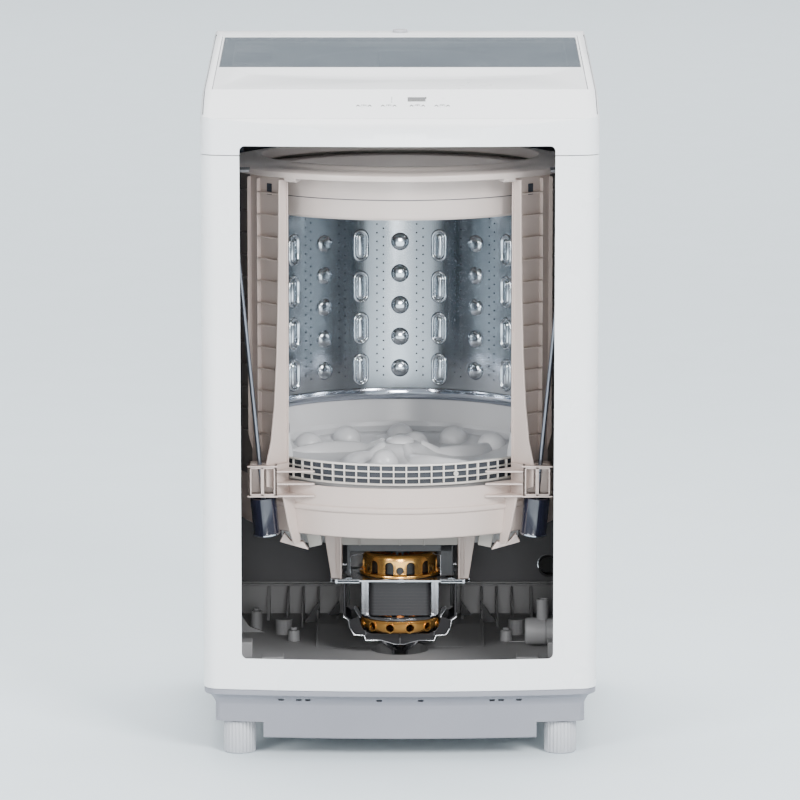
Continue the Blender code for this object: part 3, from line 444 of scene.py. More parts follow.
def make_plinth():
    concave = []
    for step in range(9):
        angle = math.pi / 2 * step / 8
        concave.append((0.0025 + 0.0135 * math.sin(angle), 0.0700 + 0.0148 * math.cos(angle) ** 1.6))
    section = [(0.0018, 0.0930), (0.0010, 0.0922), (0.0010, 0.0862), (0.0016, 0.0855)] + concave
    section += [(0.0160, 0.0265), (0.0170, 0.0250), (0.0198, 0.0250), (0.0200, 0.0800), (0.0240, 0.0850),
                (0.0240, 0.0930)]
    body = object_from(wrap(Shape(), section), "plinth")
    for sx in SIDES.values():
        carve(body, Shape().block((min(sx * 0.184, sx * 0.30), -0.30, 0.02), (max(sx * 0.184, sx * 0.30),
                                                                              0.30, 0.0462)))
        slots = Shape()
        for x in (0.028, 0.124, 0.136, 0.160):
            slots.prism(rounded_rectangle((sx * x - 0.004, 0.0765), (sx * x + 0.004, 0.0800), 0.0015),
                        -0.262, -0.225, "XZ")
        carve(body, slots)
    settle(body, PLINTH_GREY, "root", "grey_plastic", "base_plinth", angle=32)
    sockets = Shape()
    for sx in SIDES.values():
        for sy in ENDS.values():
            sockets.block((min(sx * 0.190, sx * 0.247), min(sy * 0.182, sy * 0.234), 0.0466),
                          (max(sx * 0.190, sx * 0.247), max(sy * 0.182, sy * 0.234), 0.053))
            sockets.cylinder(0.010, 0.0525, 0.078, place=Matrix.Translation((sx * 0.217, sy * 0.212, 0)))
    piece("foot_sockets", sockets, PLINTH_GREY, "root", "grey_plastic", bevel=0.0008)


def make_feet():
    flutes, fine = 24, 8
    for end, sy in ENDS.items():
        for side, sx in SIDES.items():
            name = "foot_%s_%s" % (end, side)
            place = Matrix.Translation((sx * 0.217, sy * 0.212, 0))
            section = []
            for inset, z in ((0.0018, 0.0), (0.0, 0.0018), (0.0, 0.0425), (0.0012, 0.0440)):
                ring = []
                for step in range(flutes * fine):
                    angle = 2 * math.pi * step / (flutes * fine)
                    radius = 0.0205 - inset + 0.0014 * abs(math.sin(flutes * angle / 2)) ** 0.7
                    ring.append(polar(radius, angle, z))
                section.append(ring)
            count = len(section[0])
            points = [p for ring in section for p in ring]
            faces = [tuple(reversed(range(count))), tuple(range(3 * count, 4 * count))]
            for i in range(3):
                faces += [(i * count + k, i * count + (k + 1) % count, (i + 1) * count + (k + 1) % count,
                           (i + 1) * count + k) for k in range(count)]
            shape = Shape()
            shape.shell(points, faces, place)
            shape.cylinder(0.005, 0.0435, 0.046, steps=20, place=place)
            piece("levelling_" + name, shape, FOOT_GREY, name, "foot_plastic", name, angle=50)


def top_profile(lower=0.0):
    """Side view of the top: a rolled front edge, the sloped fascia, the lid's slope and the rear strip."""
    roll = []
    for step in range(9):
        t = step / 8
        start, corner, end = Vector((-0.2705, 0.840)), Vector((-0.2680, 0.8550)), Vector((-0.249, 0.8620))
        roll.append(tuple((1 - t) ** 2 * start + 2 * t * (1 - t) * corner + t * t * end))
    front = [(-0.29, SEAM_Z - 0.05), (-0.29, 0.8360)]
    rear = [(0.225, 0.9425), (0.262, 0.9435), (0.268, 0.9425), (0.2705, 0.9400), (0.29, 0.930)]
    points = front + roll + [(LID_FRONT.y, LID_FRONT.z), (LID_REAR.y, LID_REAR.z)] + rear
    return [points[0]] + [(y, z - lower) for y, z in points[1:]] + [(0.29, SEAM_Z - 0.05)]


def lid_box(low, high):
    return Shape().block(low, high, place=LID_PLACE)


def shoulders(radius):
    """Cross section whose two upper corners are rounded."""
    half, arc = WIDTH / 2 + 0.0001, []
    for step in range(9):
        angle = math.pi / 2 * step / 8
        arc.append((half - radius * (1 - math.cos(angle)), 0.0001 - radius * (1 - math.sin(angle))))
    return [(half, -0.5)] + arc + [(-x, z) for x, z in reversed(arc)] + [(-half, -0.5)]


def make_top_cover():
    rim = 0.0008
    body = object_from(Shape().prism(cabinet_outline(0, 0), SEAM_Z + rim, 0.97), "top_casing")
    carve(body, Shape().prism(top_profile(), -0.30, 0.30, "YZ"), "INTERSECT")
    for place in (LID_PLACE, fascia_place(0, FASCIA_START.y)):
        carve(body, Shape().prism(shoulders(0.0120), -0.20, 0.60, "XZ", place), "INTERSECT")
    hollow = object_from(Shape().prism(cabinet_outline(SKIN, 0), 0.79, 0.97), "hollow")
    carve(hollow, Shape().prism(top_profile(SKIN), -0.30, 0.30, "YZ"), "INTERSECT")
    side, front, rear, deep = LID_HALF + 0.001, -0.0012, LID_LENGTH + 0.0035, LID_THICKNESS + 0.0035
    carve(hollow, lid_box((-side - SKIN, front - SKIN, -deep - SKIN), (side + SKIN, rear + SKIN, 0.05)))
    inner = Shape()
    inner.mesh.from_mesh(hollow.data)
    bpy.data.objects.remove(hollow, do_unlink=True)
    carve(body, inner)
    carve(body, lid_box((-side, front, -deep), (side, rear, 0.05)))
    carve(body, Shape().cylinder(MOUTH_RADIUS, 0.80, 0.98, 96, Matrix.Translation((0, MOUTH_Y, 0))))
    carve(body, Shape().prism(rounded_rectangle(*WINDOW, WINDOW_RADIUS), -0.30, -0.20, "XZ"))
    groove = Matrix.Translation(Vector((0, FASCIA_START.y - 0.0004, FASCIA_START.z)))
    carve(body, Shape().prism([(-0.0006, -0.0016), (0.0006, -0.0010), (0.0006, 0.0010), (-0.0006, 0.0010)],
                              -0.2440, 0.2440, "YZ", groove))
    for x in BUTTONS.values():
        carve(body, Shape().cylinder(0.0053, -0.01, 0.01, 32, fascia_place(x, -0.215)))
    carve(body, Shape().block((-0.012, -0.0065, -0.01), (0.012, 0.0065, 0.01), fascia_place(0.022, -0.198)))
    carve(body, Shape().cylinder(0.0113, 0.92, 0.96, 32, Matrix.Translation((0, 0.2405, 0))))
    for sx in SIDES.values():
        carve(body, lid_box((sx * 0.205 - 0.026, 0.266, -0.05), (sx * 0.205 + 0.026, 0.334, 0.0)))

    # Inward faces below the fascia take the dark colour as painted shade inside the top cover; the window's
    # cut faces take the cut-edge colour.
    def rule(centre, normal):
        in_front = centre.y < -0.20 and centre.z < WINDOW[1][1] + 0.001
        if in_front and abs(centre.x) < 0.2135 and abs(normal.y) < 0.5:
            return 2 if centre.z > SEAM_Z + 0.003 else 0
        inside = centre.z < 0.90 and Vector((centre.x, centre.y, 0)).normalized().dot(normal) < -0.3
        return 1 if inside and centre.z < 0.862 else 0

    settle(body, [WHITE_PLASTIC, STEEL_AND_PAINTED_SHADE, EDGE_STEEL], "root", "white_plastic", "top_cover",
           bevel=0.0009, angle=38)
    classify(body, rule)
    # The collar is near-black as painted shade inside the mouth.
    collar = Shape().lathe([(MOUTH_RADIUS + SKIN, 0.8790), (MOUTH_RADIUS + SKIN, 0.845),
                            (MOUTH_RADIUS, 0.845), (MOUTH_RADIUS, 0.8790)], 96,
                            place=Matrix.Translation((0, MOUTH_Y, 0)))
    piece("mouth_collar", collar, COLLAR_PAINTED_SHADE, "root", "white_plastic", bevel=0.0008)


BUTTONS = {"button_power": -0.048, "button_program": -0.015, "button_level": 0.023, "button_start": 0.056}


def make_controls():
    for index, (name, x) in enumerate(BUTTONS.items()):
        place = fascia_place(x, -0.215, 0.0004)
        cap = Shape().cylinder(0.0050, -0.005, 0.0, 40, place)
        piece("touch_" + name, cap, WHITE_PLASTIC, name, "white_plastic", name, bevel=0.0003)
        marks = Shape()
        for k in range(3):
            spot = Matrix.Translation(((k - 1) * 0.0026, -0.0007 if k % 2 else 0.0006, 0))
            marks.cylinder(0.00105, 0.0, 0.00015, 16, place @ spot)
        bar = 0.0010 + 0.0004 * index
        marks.block((-bar, 0.0021, 0.0), (bar, 0.0028, 0.00015), place)
        piece("mark_" + name, marks, MARK_GREY, name, "display_black")
    ticks = Shape()
    for x in BUTTONS.values():
        for side in (-1, 1):
            for lean in (-1, 1):
                turn = Matrix.Rotation(lean * math.radians(28), 4, "Z")
                place = fascia_place(x + side * 0.0078 + lean * 0.0009, -0.215) @ turn
                ticks.block((-0.0007, -0.0026, -0.0002), (0.0007, 0.0024, 0.00015), place)
    ticks.block((-0.0007, -0.0010, -0.0002), (0.0007, 0.0045, 0.00015), fascia_place(0.0345, -0.196))
    piece("control_marks", ticks, MARK_GREY, "root", "display_black")
    pane = Shape().block((-0.0117, -0.0062, -0.0025), (0.0117, 0.0062, 0.0001), fascia_place(0.022, -0.198))
    piece("display_pane", pane, DISPLAY, "root", "display_black", "display_window", bevel=0.0003)
    lamps = Shape()
    for k in range(5):
        lamps.cylinder(0.0007, -0.0002, 0.00015, 16, fascia_place(-0.0110, -0.206 + 0.0034 * k))
    piece("program_lamps", lamps, MARK_GREY, "root", "display_black")


def make_lid():
    half = LID_HALF
    frame_shape = Shape().block((-half, 0, -LID_THICKNESS), (half, LID_LENGTH, 0), LID_PLACE)
    body = object_from(frame_shape, "lid_surround")
    carve(body, lid_box((-half + 0.020, GLASS_START + 0.014, -0.05), (half - 0.020, GLASS_END - 0.012, 0.05)))
    carve(body, lid_box((-half + 0.0025, GLASS_START, -0.0040), (half - 0.0025, GLASS_END, 0.01)))
    across = Matrix.Rotation(math.pi / 2, 4, "Y")
    reach, depth, curve = 0.205, 0.0042, 0.170
    dish = [(0.0001, reach)]
    for k in range(41):
        x = reach * (1 - k / 20)
        dish.append((curve - depth * (x / reach) ** 2, x))
    dish.append((0.0001, -reach))
    scoop = Matrix.Translation((0, 0.101, curve - depth))
    carve(body, Shape().lathe(dish, 256, place=LID_PLACE @ scoop @ across))
    for sx in SIDES.values():
        centre = LID_PLACE @ Vector((sx * 0.2475, 0.376, -0.006))
        carve(body, Shape().cylinder(0.0033, -0.0068, 0.0068, 24, Matrix.Translation(centre) @ across))
    settle(body, WHITE_PLASTIC, "lid", "white_plastic", "lid_frame", bevel=0.0012, angle=38)
    outline = rounded_rectangle((-half + 0.0030, GLASS_START + 0.0005), (half - 0.0030, GLASS_END - 0.0005),
                                0.002)
    pane = Shape().prism(outline, -0.0037, -0.0002, place=LID_PLACE)
    piece("lid_window_pane", pane, LID_GLASS, "lid", "glass", "lid_glass", bevel=0.0004)
    border = Shape()
    border.block((-half + 0.0034, GLASS_START + 0.0008, -0.00398), (half - 0.0034, GLASS_START + 0.0135,
                                                                    -0.00372), LID_PLACE)
    border.block((-half + 0.0034, GLASS_END - 0.0118, -0.00398), (half - 0.0034, GLASS_END - 0.0008,
                                                                  -0.00372), LID_PLACE)
    for sx in SIDES.values():
        low, high = sorted((sx * (half - 0.0034), sx * (half - 0.0190)))
        border.block((low, GLASS_START + 0.0140, -0.00398), (high, GLASS_END - 0.0122, -0.00372), LID_PLACE)
    piece("lid_glass_border", border, DISPLAY, "lid", "display_black")


def make_dispensers():
    for name, sx in {"detergent_box": -1, "softener_box": 1}.items():
        low, high = (sx * 0.205 - 0.0254, 0.2666), (sx * 0.205 + 0.0254, 0.3334)
        tray = Shape().prism(rounded_rectangle(low, high, 0.006), -0.0370, -0.0151, place=LID_PLACE)
        body = object_from(tray, name)
        rim = Shape().prism(rounded_rectangle((low[0] - 0.002, low[1] - 0.002), (high[0] + 0.002,
                                                                                 high[1] + 0.002), 0.008),
                                                                                 -0.0152, -0.0142,
                                                                                 place=LID_PLACE)
        carve(body, rim, "UNION")
        well = rounded_rectangle((low[0] + 0.002, low[1] + 0.002), (high[0] - 0.002, high[1] - 0.002), 0.004)
        carve(body, Shape().prism(well, -0.0350, 0.01, place=LID_PLACE))
        settle(body, BASE_PLASTIC, "root", "drum_plastic", name, bevel=0.0004, angle=38)
        body.name = "tray_" + name


# Outer tub

def about_z(angle):
    return Matrix.Rotation(math.radians(angle), 4, "Z")


def radial_plate(shape, outline, angle, thickness):
    """Upright plate of (radius, height) points, standing out from the axis at an angle in degrees."""
    shape.prism(outline, -thickness / 2, thickness / 2, "XZ", about_z(angle))


def make_tub_wall():
    wall = [(0.2345, 0.7812), (0.2345, 0.7765), (0.2325, 0.7745), (0.2310, 0.3625), (0.2285, 0.3625),
            (0.2285, 0.7812)]
    shape = Shape().lathe(wall, 144, TUB_ARC)
    for row in range(12):
        z = 0.4235 + 0.0300 * row
        rib = [(0.2322, z + 0.0014), (0.2378, z + 0.0009), (0.2378, z - 0.0009), (0.2322, z - 0.0014)]
        for low, high in ((CUT_ANGLE + 1.2, 54.5), (60.5, 180.0)):
            for start, end in ((-90 + low, -90 + high), (-90 - high, -90 - low)):
                shape.lathe(rib, max(8, int((high - low) / 2)), (start, end))
    for angle in (54.5, 60.5, 75.0, 95.0, 115.0, 135.0, 155.0, 175.0):
        reach = 0.2385 if angle > 61 else 0.2375
        rib = [(0.2305, 0.772), (reach - 0.001, 0.772), (reach, 0.770), (reach, 0.420), (0.2305, 0.395)]
        for sign in (-1, 1):
            radial_plate(shape, rib, -90 + sign * angle, 0.0022)
    body = object_from(shape, "tub_wall")

    # Outer faces beyond 61.5 degrees from the front take the darkest tub colour and inner faces the darker
    # one, both painted shade; outer faces near the cut keep the plain tub colour.
    def rule(centre, normal):
        angle = math.degrees(math.atan2(abs(centre.x), -centre.y))
        return (0 if angle < 61.5 else 1) if centre.xy.length > 0.2298 else 2

    settle(body, [TUB_PLASTIC, TUB_REAR_PAINTED_SHADE, TUB_SHADE], "tub", "tub_plastic", "outer_tub", bevel=0.0005)
    classify(body, rule)


def make_tub_slots():
    """Small catch slots near the top of the ribbed band, drawn as thin near-black blocks in painted shade."""
    shape = Shape()
    for sign in (-1, 1):
        place = about_z(-90 + sign * 49.0)
        shape.block((0.2318, -0.0048, 0.7510), (0.2332, 0.0048, 0.7660), place)
    piece("tub_catch_slots", shape, HOLE_SHADE_AND_JOINT, "tub", "dark_plastic")


def make_tub_fins():
    shape = Shape()
    for sign in (-1, 1):
        fin = [(0.2292, 0.7735), (0.2430, 0.7735), (0.2438, 0.700), (0.2452, 0.620), (0.2480, 0.540),
               (0.2530, 0.470), (0.2600, 0.420), (0.2690, 0.392), (0.2690, 0.3605), (0.2292, 0.345)]
        radial_plate(shape, fin, -90 + sign * (CUT_ANGLE + 0.5), 0.0030)
        lip = [(0.2292, 0.7700), (0.2310, 0.7700), (0.2310, 0.3650), (0.2292, 0.3650)]
        radial_plate(shape, lip, -90 + sign * (CUT_ANGLE - 0.3), 0.0030)
    piece("tub_side_fins", shape, TUB_PLASTIC, "tub", "tub_plastic", bevel=0.0007)


def make_tub_base():
    skirt = [(0.2310, 0.3625), (0.2312, 0.3370), (0.2335, 0.3352), (0.2340, 0.3320), (0.2330, 0.3290),
             (0.2302, 0.3272), (0.2250, 0.2945), (0.2235, 0.2930), (0.2215, 0.2930), (0.2222, 0.3005),
             (0.0340, 0.3005), (0.0340, 0.2700), (0.0300, 0.2700), (0.0300, 0.3120), (0.0340, 0.3120),
             (0.0340, 0.3045), (0.2260, 0.3045), (0.2285, 0.3350), (0.2285, 0.3625)]
    shape = Shape().lathe(skirt, 160)
    for step in range(24):
        angle = 15 * step + 7.5
        reach = 0.2205
        rib = [(0.0345, 0.3005), (0.0345, 0.2780), (0.060, 0.2860), (reach, 0.2945), (reach, 0.3005)]
        radial_plate(shape, rib, angle, 0.0022)
    piece("tub_base", shape, TUB_PLASTIC, "tub", "tub_plastic", bevel=0.0006)


def make_lugs():
    for end, sy in ENDS.items():
        for side, sx in SIDES.items():
            shape = Shape()
            low, high, wall = 0.3470, 0.390, 0.003
            half, centre = 0.0195, 0.1850
            place = Matrix.Translation((sx * centre, sy * 0.187, 0))
            outer_y, inner_y = sorted((sy * half, sy * (half - wall)))
            for x0, y0, x1, y1 in ((-half, -half, -half + wall, half), (half - wall, -half, half, half),
                                   (-half, -sy * half - wall / 2, half, -sy * half + wall / 2)):
                shape.block((x0, y0, low), (x1, y1, high), place)
            for z0, z1 in ((low, low + 0.0045), (high - 0.0045, high)):
                shape.block((-half, outer_y, z0), (half, inner_y, z1), place)
            for x in (-half, -0.0025, half - 0.0045):
                shape.block((x, outer_y, low), (x + 0.0045, inner_y, high), place)
            ring = object_from(Shape().block((-half, -half, high - wall), (half, half, high), place),
                               "lug_roof")
            bore = Matrix.Translation((sx * 0.1892, sy * 0.1892, 0))
            carve(ring, Shape().cylinder(0.009, 0.37, 0.40, 24, bore))
            shape.mesh.from_mesh(ring.data)
            bpy.data.objects.remove(ring, do_unlink=True)
            y = sorted((sy * (half + 0.0015), sy * half))
            for z in (low, high - 0.0022):
                shape.block((-half - 0.001, y[0], z), (half + 0.001, y[1], z + 0.0022), place)
            inward = [(0.168, 0.206), (0.168, 0.150), (0.155, 0.166), (0.150, 0.176)]
            shape.prism([(sx * u, sy * v) for u, v in inward], low, high)
            wedge = [(0.166, 0.2055), (0.166, 0.160), (0.1150, 0.2010), (0.1150, 0.2048)]
            if end == "front":
                for z in (0.3470, 0.3635, 0.3805):
                    shape.prism([(sx * u, sy * v) for u, v in wedge], z, z + 0.0024)
            prong = [(0.2235, 0.3480), (0.2560, 0.3480), (0.2440, 0.3050), (0.2330, 0.2790), (0.2200, 0.2790)]
            radial_plate(shape, prong, math.degrees(math.atan2(sy * 0.79, sx * 0.62)), 0.0028)
            shelf = [(0.1630, 0.2800), (0.1570, 0.2920), (0.1480, 0.2810), (0.1310, 0.2800), (0.1240, 0.2690)]
            y = sorted((sy * 0.158, sy * 0.172))
            shape.prism([(sx * u, z) for u, z in shelf], y[0], y[1], "XZ")
            piece("tub_lug_%s_%s" % (end, side), shape, TUB_PLASTIC, "tub", "tub_plastic", bevel=0.0005)
            # The stay block takes the darker tub colour as painted shade.
            block = [(0.1290, 0.2960), (0.1085, 0.2960), (0.1060, 0.2730), (0.1235, 0.2690)]
            y = sorted((sy * 0.135, sy * 0.156))
            shade = Shape().prism([(sx * u, z) for u, z in block], y[0], y[1], "XZ")
            piece("tub_stay_%s_%s" % (end, side), shade, TUB_SHADE, "tub", "tub_plastic", bevel=0.0005)


def make_legs():
    shape = Shape()
    for sy in ENDS.values():
        near, far = sorted((sy * 0.036, sy * 0.056))
        for sx in SIDES.values():
            leg = [(0.0805, 0.2075), (0.0950, 0.2075), (0.1095, 0.3015), (0.0805, 0.3015)]
            shape.prism([(sx * x, z) for x, z in leg], near, far, "XZ")
            rib = [(0.0805, 0.2075), (0.0832, 0.2075), (0.0846, 0.3010), (0.0805, 0.3010)]
            low, high = sorted((sy * 0.0555, sy * 0.0625))
            shape.prism([(sx * x, z) for x, z in rib], low, high, "XZ")
            rib = [(0.0870, 0.2120), (0.0884, 0.2120), (0.0910, 0.3010), (0.0890, 0.3010)]
            low, high = sorted((sy * 0.0555, sy * 0.0580))
            shape.prism([(sx * x, z) for x, z in rib], low, high, "XZ")
    piece("tub_legs", shape, TUB_PLASTIC, "tub", "tub_plastic", bevel=0.0006)
    # The apron takes the darker tub colour as painted shade.
    apron = Shape()
    for sy in ENDS.values():
        low, high = sorted((sy * 0.0525, sy * 0.0550))
        apron.block((-0.0815, low, 0.2545), (0.0815, high, 0.3010))
        low, high = sorted((sy * 0.0545, sy * 0.0590))
        for x in (-0.0567, -0.0010, 0.0323):
            apron.block((x, low, 0.2545), (x + 0.0022, high, 0.3010))
    piece("tub_apron", apron, TUB_SHADE, "tub", "tub_plastic", bevel=0.0004)


def make_tub_cover():
    ring = [(0.1895, 0.7905), (0.1905, 0.7925), (0.1930, 0.7928), (0.2010, 0.7912), (0.2030, 0.7895),
            (0.2200, 0.7872), (0.2240, 0.7880), (0.2368, 0.7855), (0.2395, 0.7838), (0.2400, 0.7815),
            (0.2400, 0.7765), (0.2385, 0.7760), (0.2370, 0.7765), (0.2370, 0.7825), (0.1930, 0.7882),
            (0.1925, 0.7795), (0.1905, 0.7790), (0.1895, 0.7800)]
    shape = Shape().lathe(ring, 192)
    for sign in (-1, 1):
        angle = -90 + sign * (CUT_ANGLE - 2.0)
        hook = [(0.2250, 0.7790), (0.2392, 0.7790), (0.2405, 0.7740), (0.2380, 0.7712), (0.2270, 0.7735)]
        for k in range(4):
            radial_plate(shape, hook, angle - sign * 1.1 * k, 0.0050)
    piece("tub_cover_ring", shape, RING_PLASTIC, "tub", "tub_plastic", "tub_cover", bevel=0.0004, angle=40)


# Suspension

def rod_point(sx, sy, z):
    reach = 0.190 + 0.0375 / 0.403 * (z - 0.397)
    return Vector((sx * reach, sy * reach, z))


def make_suspension():
    for end, sy in ENDS.items():
        for side, sx in SIDES.items():
            place = "%s_%s" % (end, side)
            path = [rod_point(sx, sy, 0.307 + 0.0613 * k) for k in range(9)]
            shape = Shape().sweep(path[:-1] + [rod_point(sx, sy, 0.7985)], 0.0030, 20)
            along = rod_point(sx, sy, 0.79) - rod_point(sx, sy, 0.32)
            lean = along.to_track_quat("Z", "Y").to_matrix().to_4x4()
            top = Matrix.Translation(rod_point(sx, sy, 0.7975)) @ lean
            ball = [(0.0001, 0.0060), (0.0030, 0.0056), (0.0056, 0.0036), (0.0069, 0.0006), (0.0069, -0.0030),
                    (0.0001, -0.0030)]
            shape.lathe(ball, 24, place=top)
            shape.lathe([(0.0001, 0.006), (0.0098, 0.006), (0.0098, 0.0), (0.0001, 0.0)], 24,
                        place=Matrix.Translation(rod_point(sx, sy, 0.3030)) @ lean)
            piece("hanging_rod_" + place, shape, ROD_STEEL, "root", "steel", "suspension_rod_" + place)

            bottom = Matrix.Translation(rod_point(sx, sy, 0.2915)) @ lean
            cup = [(0.0165, 0.0), (0.0180, 0.0008), (0.0183, 0.0022), (0.0178, 0.0036), (0.0174, 0.0046),
                   (0.0176, 0.0490), (0.0172, 0.0530), (0.0160, 0.0540), (0.0152, 0.0540), (0.0152, 0.0020),
                   (0.0001, 0.0020), (0.0001, 0.0)]
            piece("damper_" + place, Shape().lathe(cup, 48, place=bottom), NAVY_GLOSS, "tub", "navy_gloss",
                  "damper_cup_" + place, angle=40)
            rim = [(0.0178, 0.0034), (0.0186, 0.0030), (0.0187, 0.0018), (0.0180, 0.0010)]
            piece("damper_rim_" + place, Shape().lathe(rim, 48, place=bottom), CHROME, "tub", "chrome")
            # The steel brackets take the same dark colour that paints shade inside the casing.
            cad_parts["hanger_bracket_" + place].data.materials.clear()
            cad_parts["hanger_bracket_" + place].data.materials.append(STEEL_AND_PAINTED_SHADE)


# Drum

def pressed(shape, angle, height, half_length, radius, relief, steps=32):
    """Pressed figure standing in from the drum wall: relief lists (inset from the rim, rise)."""
    points, faces = [], []
    for inset, rise in relief:
        reach = max(radius - inset, 0.00005)
        for k in range(steps):
            turn = 2 * math.pi * (k + 0.5) / steps
            shift = half_length if math.sin(turn) > 0 else -half_length
            u, v = reach * math.cos(turn), reach * math.sin(turn) + shift
            points.append(polar(DRUM_INNER + 0.0003 - rise, math.radians(angle) + u / DRUM_INNER, height + v))
    for ring in range(len(relief) - 1):
        a, b = ring * steps, (ring + 1) * steps
        faces += [(a + k, b + k, b + (k + 1) % steps, a + (k + 1) % steps) for k in range(steps)]
    faces.append(tuple(range((len(relief) - 1) * steps, len(relief) * steps)))
    faces.append(tuple(reversed(range(steps))))
    shape.shell(points, faces)


def dome_relief(radius=0.013, rise=0.0052, rings=9):
    relief = [(0.0, 0.0), (0.0004, 0.0007)]
    for k in range(1, rings + 1):
        inset = radius * k / rings * 0.985
        relief.append((inset, 0.0007 + rise * math.sqrt(1 - (1 - k / rings) ** 2)))
    return relief


OBLONG_RELIEF = [(0.0, 0.0), (0.0003, 0.0010), (0.0012, 0.0026), (0.0024, 0.0032), (0.0036, 0.0030),
                 (0.0048, 0.0018), (0.0056, 0.0010), (0.0064, 0.0009), (0.0072, 0.0018), (0.0085, 0.0028),
                 (0.0105, 0.0033)]
COLUMNS = 22
DOME_ROWS = [0.648 - 0.0455 * k for k in range(5)]
OBLONG_ROWS = [0.643 - 0.0593 * k for k in range(4)]


def make_drum_shell():
    outer = DRUM_INNER + 0.0012
    wall = [(outer, 0.7205), (outer, 0.4375), (DRUM_INNER, 0.4375), (DRUM_INNER, 0.7205)]
    shape = Shape().lathe(wall, 180, DRUM_ARC)
    piece("drum_sheet", shape, STAINLESS, "drum", "stainless", "drum_shell")
    domes, oblongs, holes = Shape(), Shape(), Shape()
    for column in range(COLUMNS):
        angle = 90 + 360 / COLUMNS * column
        from_front = abs((angle + 90 + 180) % 360 - 180)
        if from_front > DRUM_CUT_ANGLE + 4.5:
            if column % 2 == 0:
                for z in DOME_ROWS:
                    pressed(domes, angle, z, 0.0, 0.0130, dome_relief())
            else:
                for z in OBLONG_ROWS:
                    pressed(oblongs, angle, z, 0.01125, 0.01225, OBLONG_RELIEF)
        for side, shift in ((-1.35, 0.0), (1.35, 0.0062)):
            hole_angle = angle + 180 / COLUMNS + side
            hole_from_front = abs((hole_angle + 90 + 180) % 360 - 180)
            if hole_from_front < DRUM_CUT_ANGLE + 1.0:
                continue
            for row in range(21):
                z = 0.4560 + 0.0124 * row + shift
                place = about_z(hole_angle) @ Matrix.Translation((DRUM_INNER + 0.0002, 0, z))
                holes.cylinder(0.00125, 0.0, 0.0005, 10, place @ Matrix.Rotation(-math.pi / 2, 4, "Y"))
    piece("drum_domes", domes, DOME_STEEL, "drum", "stainless", angle=60)
    piece("drum_oblongs", oblongs, DOME_STEEL, "drum", "stainless", angle=60)
    # The perforations are near-black discs on the sheet: painted shade where the holes are.
    piece("drum_perforations", holes, HOLE_SHADE_AND_JOINT, "drum", "dark_plastic")
    trim = [(0.2002, 0.4370), (0.2005, 0.4360), (0.2005, 0.4230), (0.1995, 0.4220), (0.1972, 0.4220),
            (0.1964, 0.4235), (0.1960, 0.4295), (0.1964, 0.4355), (0.1972, 0.4370)]
    piece("drum_trim_band", Shape().lathe(trim, 180, DRUM_ARC), CHROME, "drum", "chrome", "drum_trim_ring")


def make_balance_ring():
    ring = [(0.2015, 0.7745), (0.2035, 0.7725), (0.2035, 0.7484), (0.2026, 0.7474), (0.2023, 0.7462),
            (0.2020, 0.7240), (0.2000, 0.7210), (0.1790, 0.7210), (0.1740, 0.7240), (0.1722, 0.7300),
            (0.1720, 0.7700), (0.1738, 0.7735), (0.1765, 0.7745)]
    shape = Shape().lathe(ring, 192)
    piece("fluid_balance_ring", shape, RING_PLASTIC, "drum", "tub_plastic", "balance_ring", angle=30)
    groove = [(0.20365, 0.7488), (0.20365, 0.7478), (0.2024, 0.7478), (0.2024, 0.7488)]
    piece("balance_ring_joint", Shape().lathe(groove, 192), HOLE_SHADE_AND_JOINT, "drum", "dark_plastic")


def make_drum_base():
    bowl = [(0.1930, 0.3625), (0.1900, 0.3520), (0.1860, 0.3480), (0.1200, 0.3450), (0.0170, 0.3450),
            (0.0170, 0.3500), (0.1180, 0.3500), (0.1660, 0.3545), (0.1712, 0.3590), (0.1735, 0.3760),
            (0.1770, 0.3795), (0.1850, 0.3815), (0.1890, 0.3840), (0.1905, 0.3900), (0.1925, 0.3900)]
    shape = Shape().lathe(bowl, 160)
    rear_wall = [(0.1975, 0.4215), (0.1980, 0.3895), (0.1905, 0.3890), (0.1912, 0.4000), (0.1945, 0.4120),
                 (0.1950, 0.4215)]
    shape.lathe(rear_wall, 180, DRUM_ARC)
    for k in range(8):
        radial_plate(shape, [(0.0320, 0.3452), (0.0320, 0.3400), (0.1400, 0.3400), (0.1820, 0.3480)],
                     22.5 + 45 * k, 0.003)
    piece("drum_bowl", shape, BASE_PLASTIC, "drum", "drum_plastic", "drum_base", bevel=0.0004, angle=40)

    lattice = Shape()
    rows = (0.3625, 0.3710, 0.3800, 0.3890)
    for z in rows:
        half = 0.00085 if z not in (rows[0], rows[-1]) else 0.0012
        lattice.lathe([(0.1982, z + half), (0.1982, z - half), (0.1950, z - half), (0.1950, z + half)], 192)
    bars = 72
    for k in range(bars):
        place = about_z(360 / bars * (k + 0.5))
        lattice.block((0.1952, -0.00085, 0.3620), (0.1980, 0.00085, 0.3895), place)
        if k % 3 == 0:
            lattice.block((0.1912, -0.0010, 0.3620), (0.1952, 0.0010, 0.3895), place)
    backing = [(0.1946, 0.3880), (0.1946, 0.3637), (0.1934, 0.3637), (0.1934, 0.3880)]
    piece("lattice_shadow_band", Shape().lathe(backing, 160), HOLE_SHADE_AND_JOINT, "drum", "drum_plastic")
    outward = Matrix.Rotation(math.pi / 2, 4, "Y")
    boss = about_z(-90 + 22.5) @ Matrix.Translation((0.1976, 0, 0.3755)) @ outward
    lattice.lathe([(0.0032, 0.0014), (0.0032, -0.0010), (0.0016, -0.0010), (0.0016, 0.0014)], 24, place=boss)
    piece("drum_lattice_ring", lattice, LATTICE_PLASTIC, "drum", "drum_plastic", bevel=0.0002)


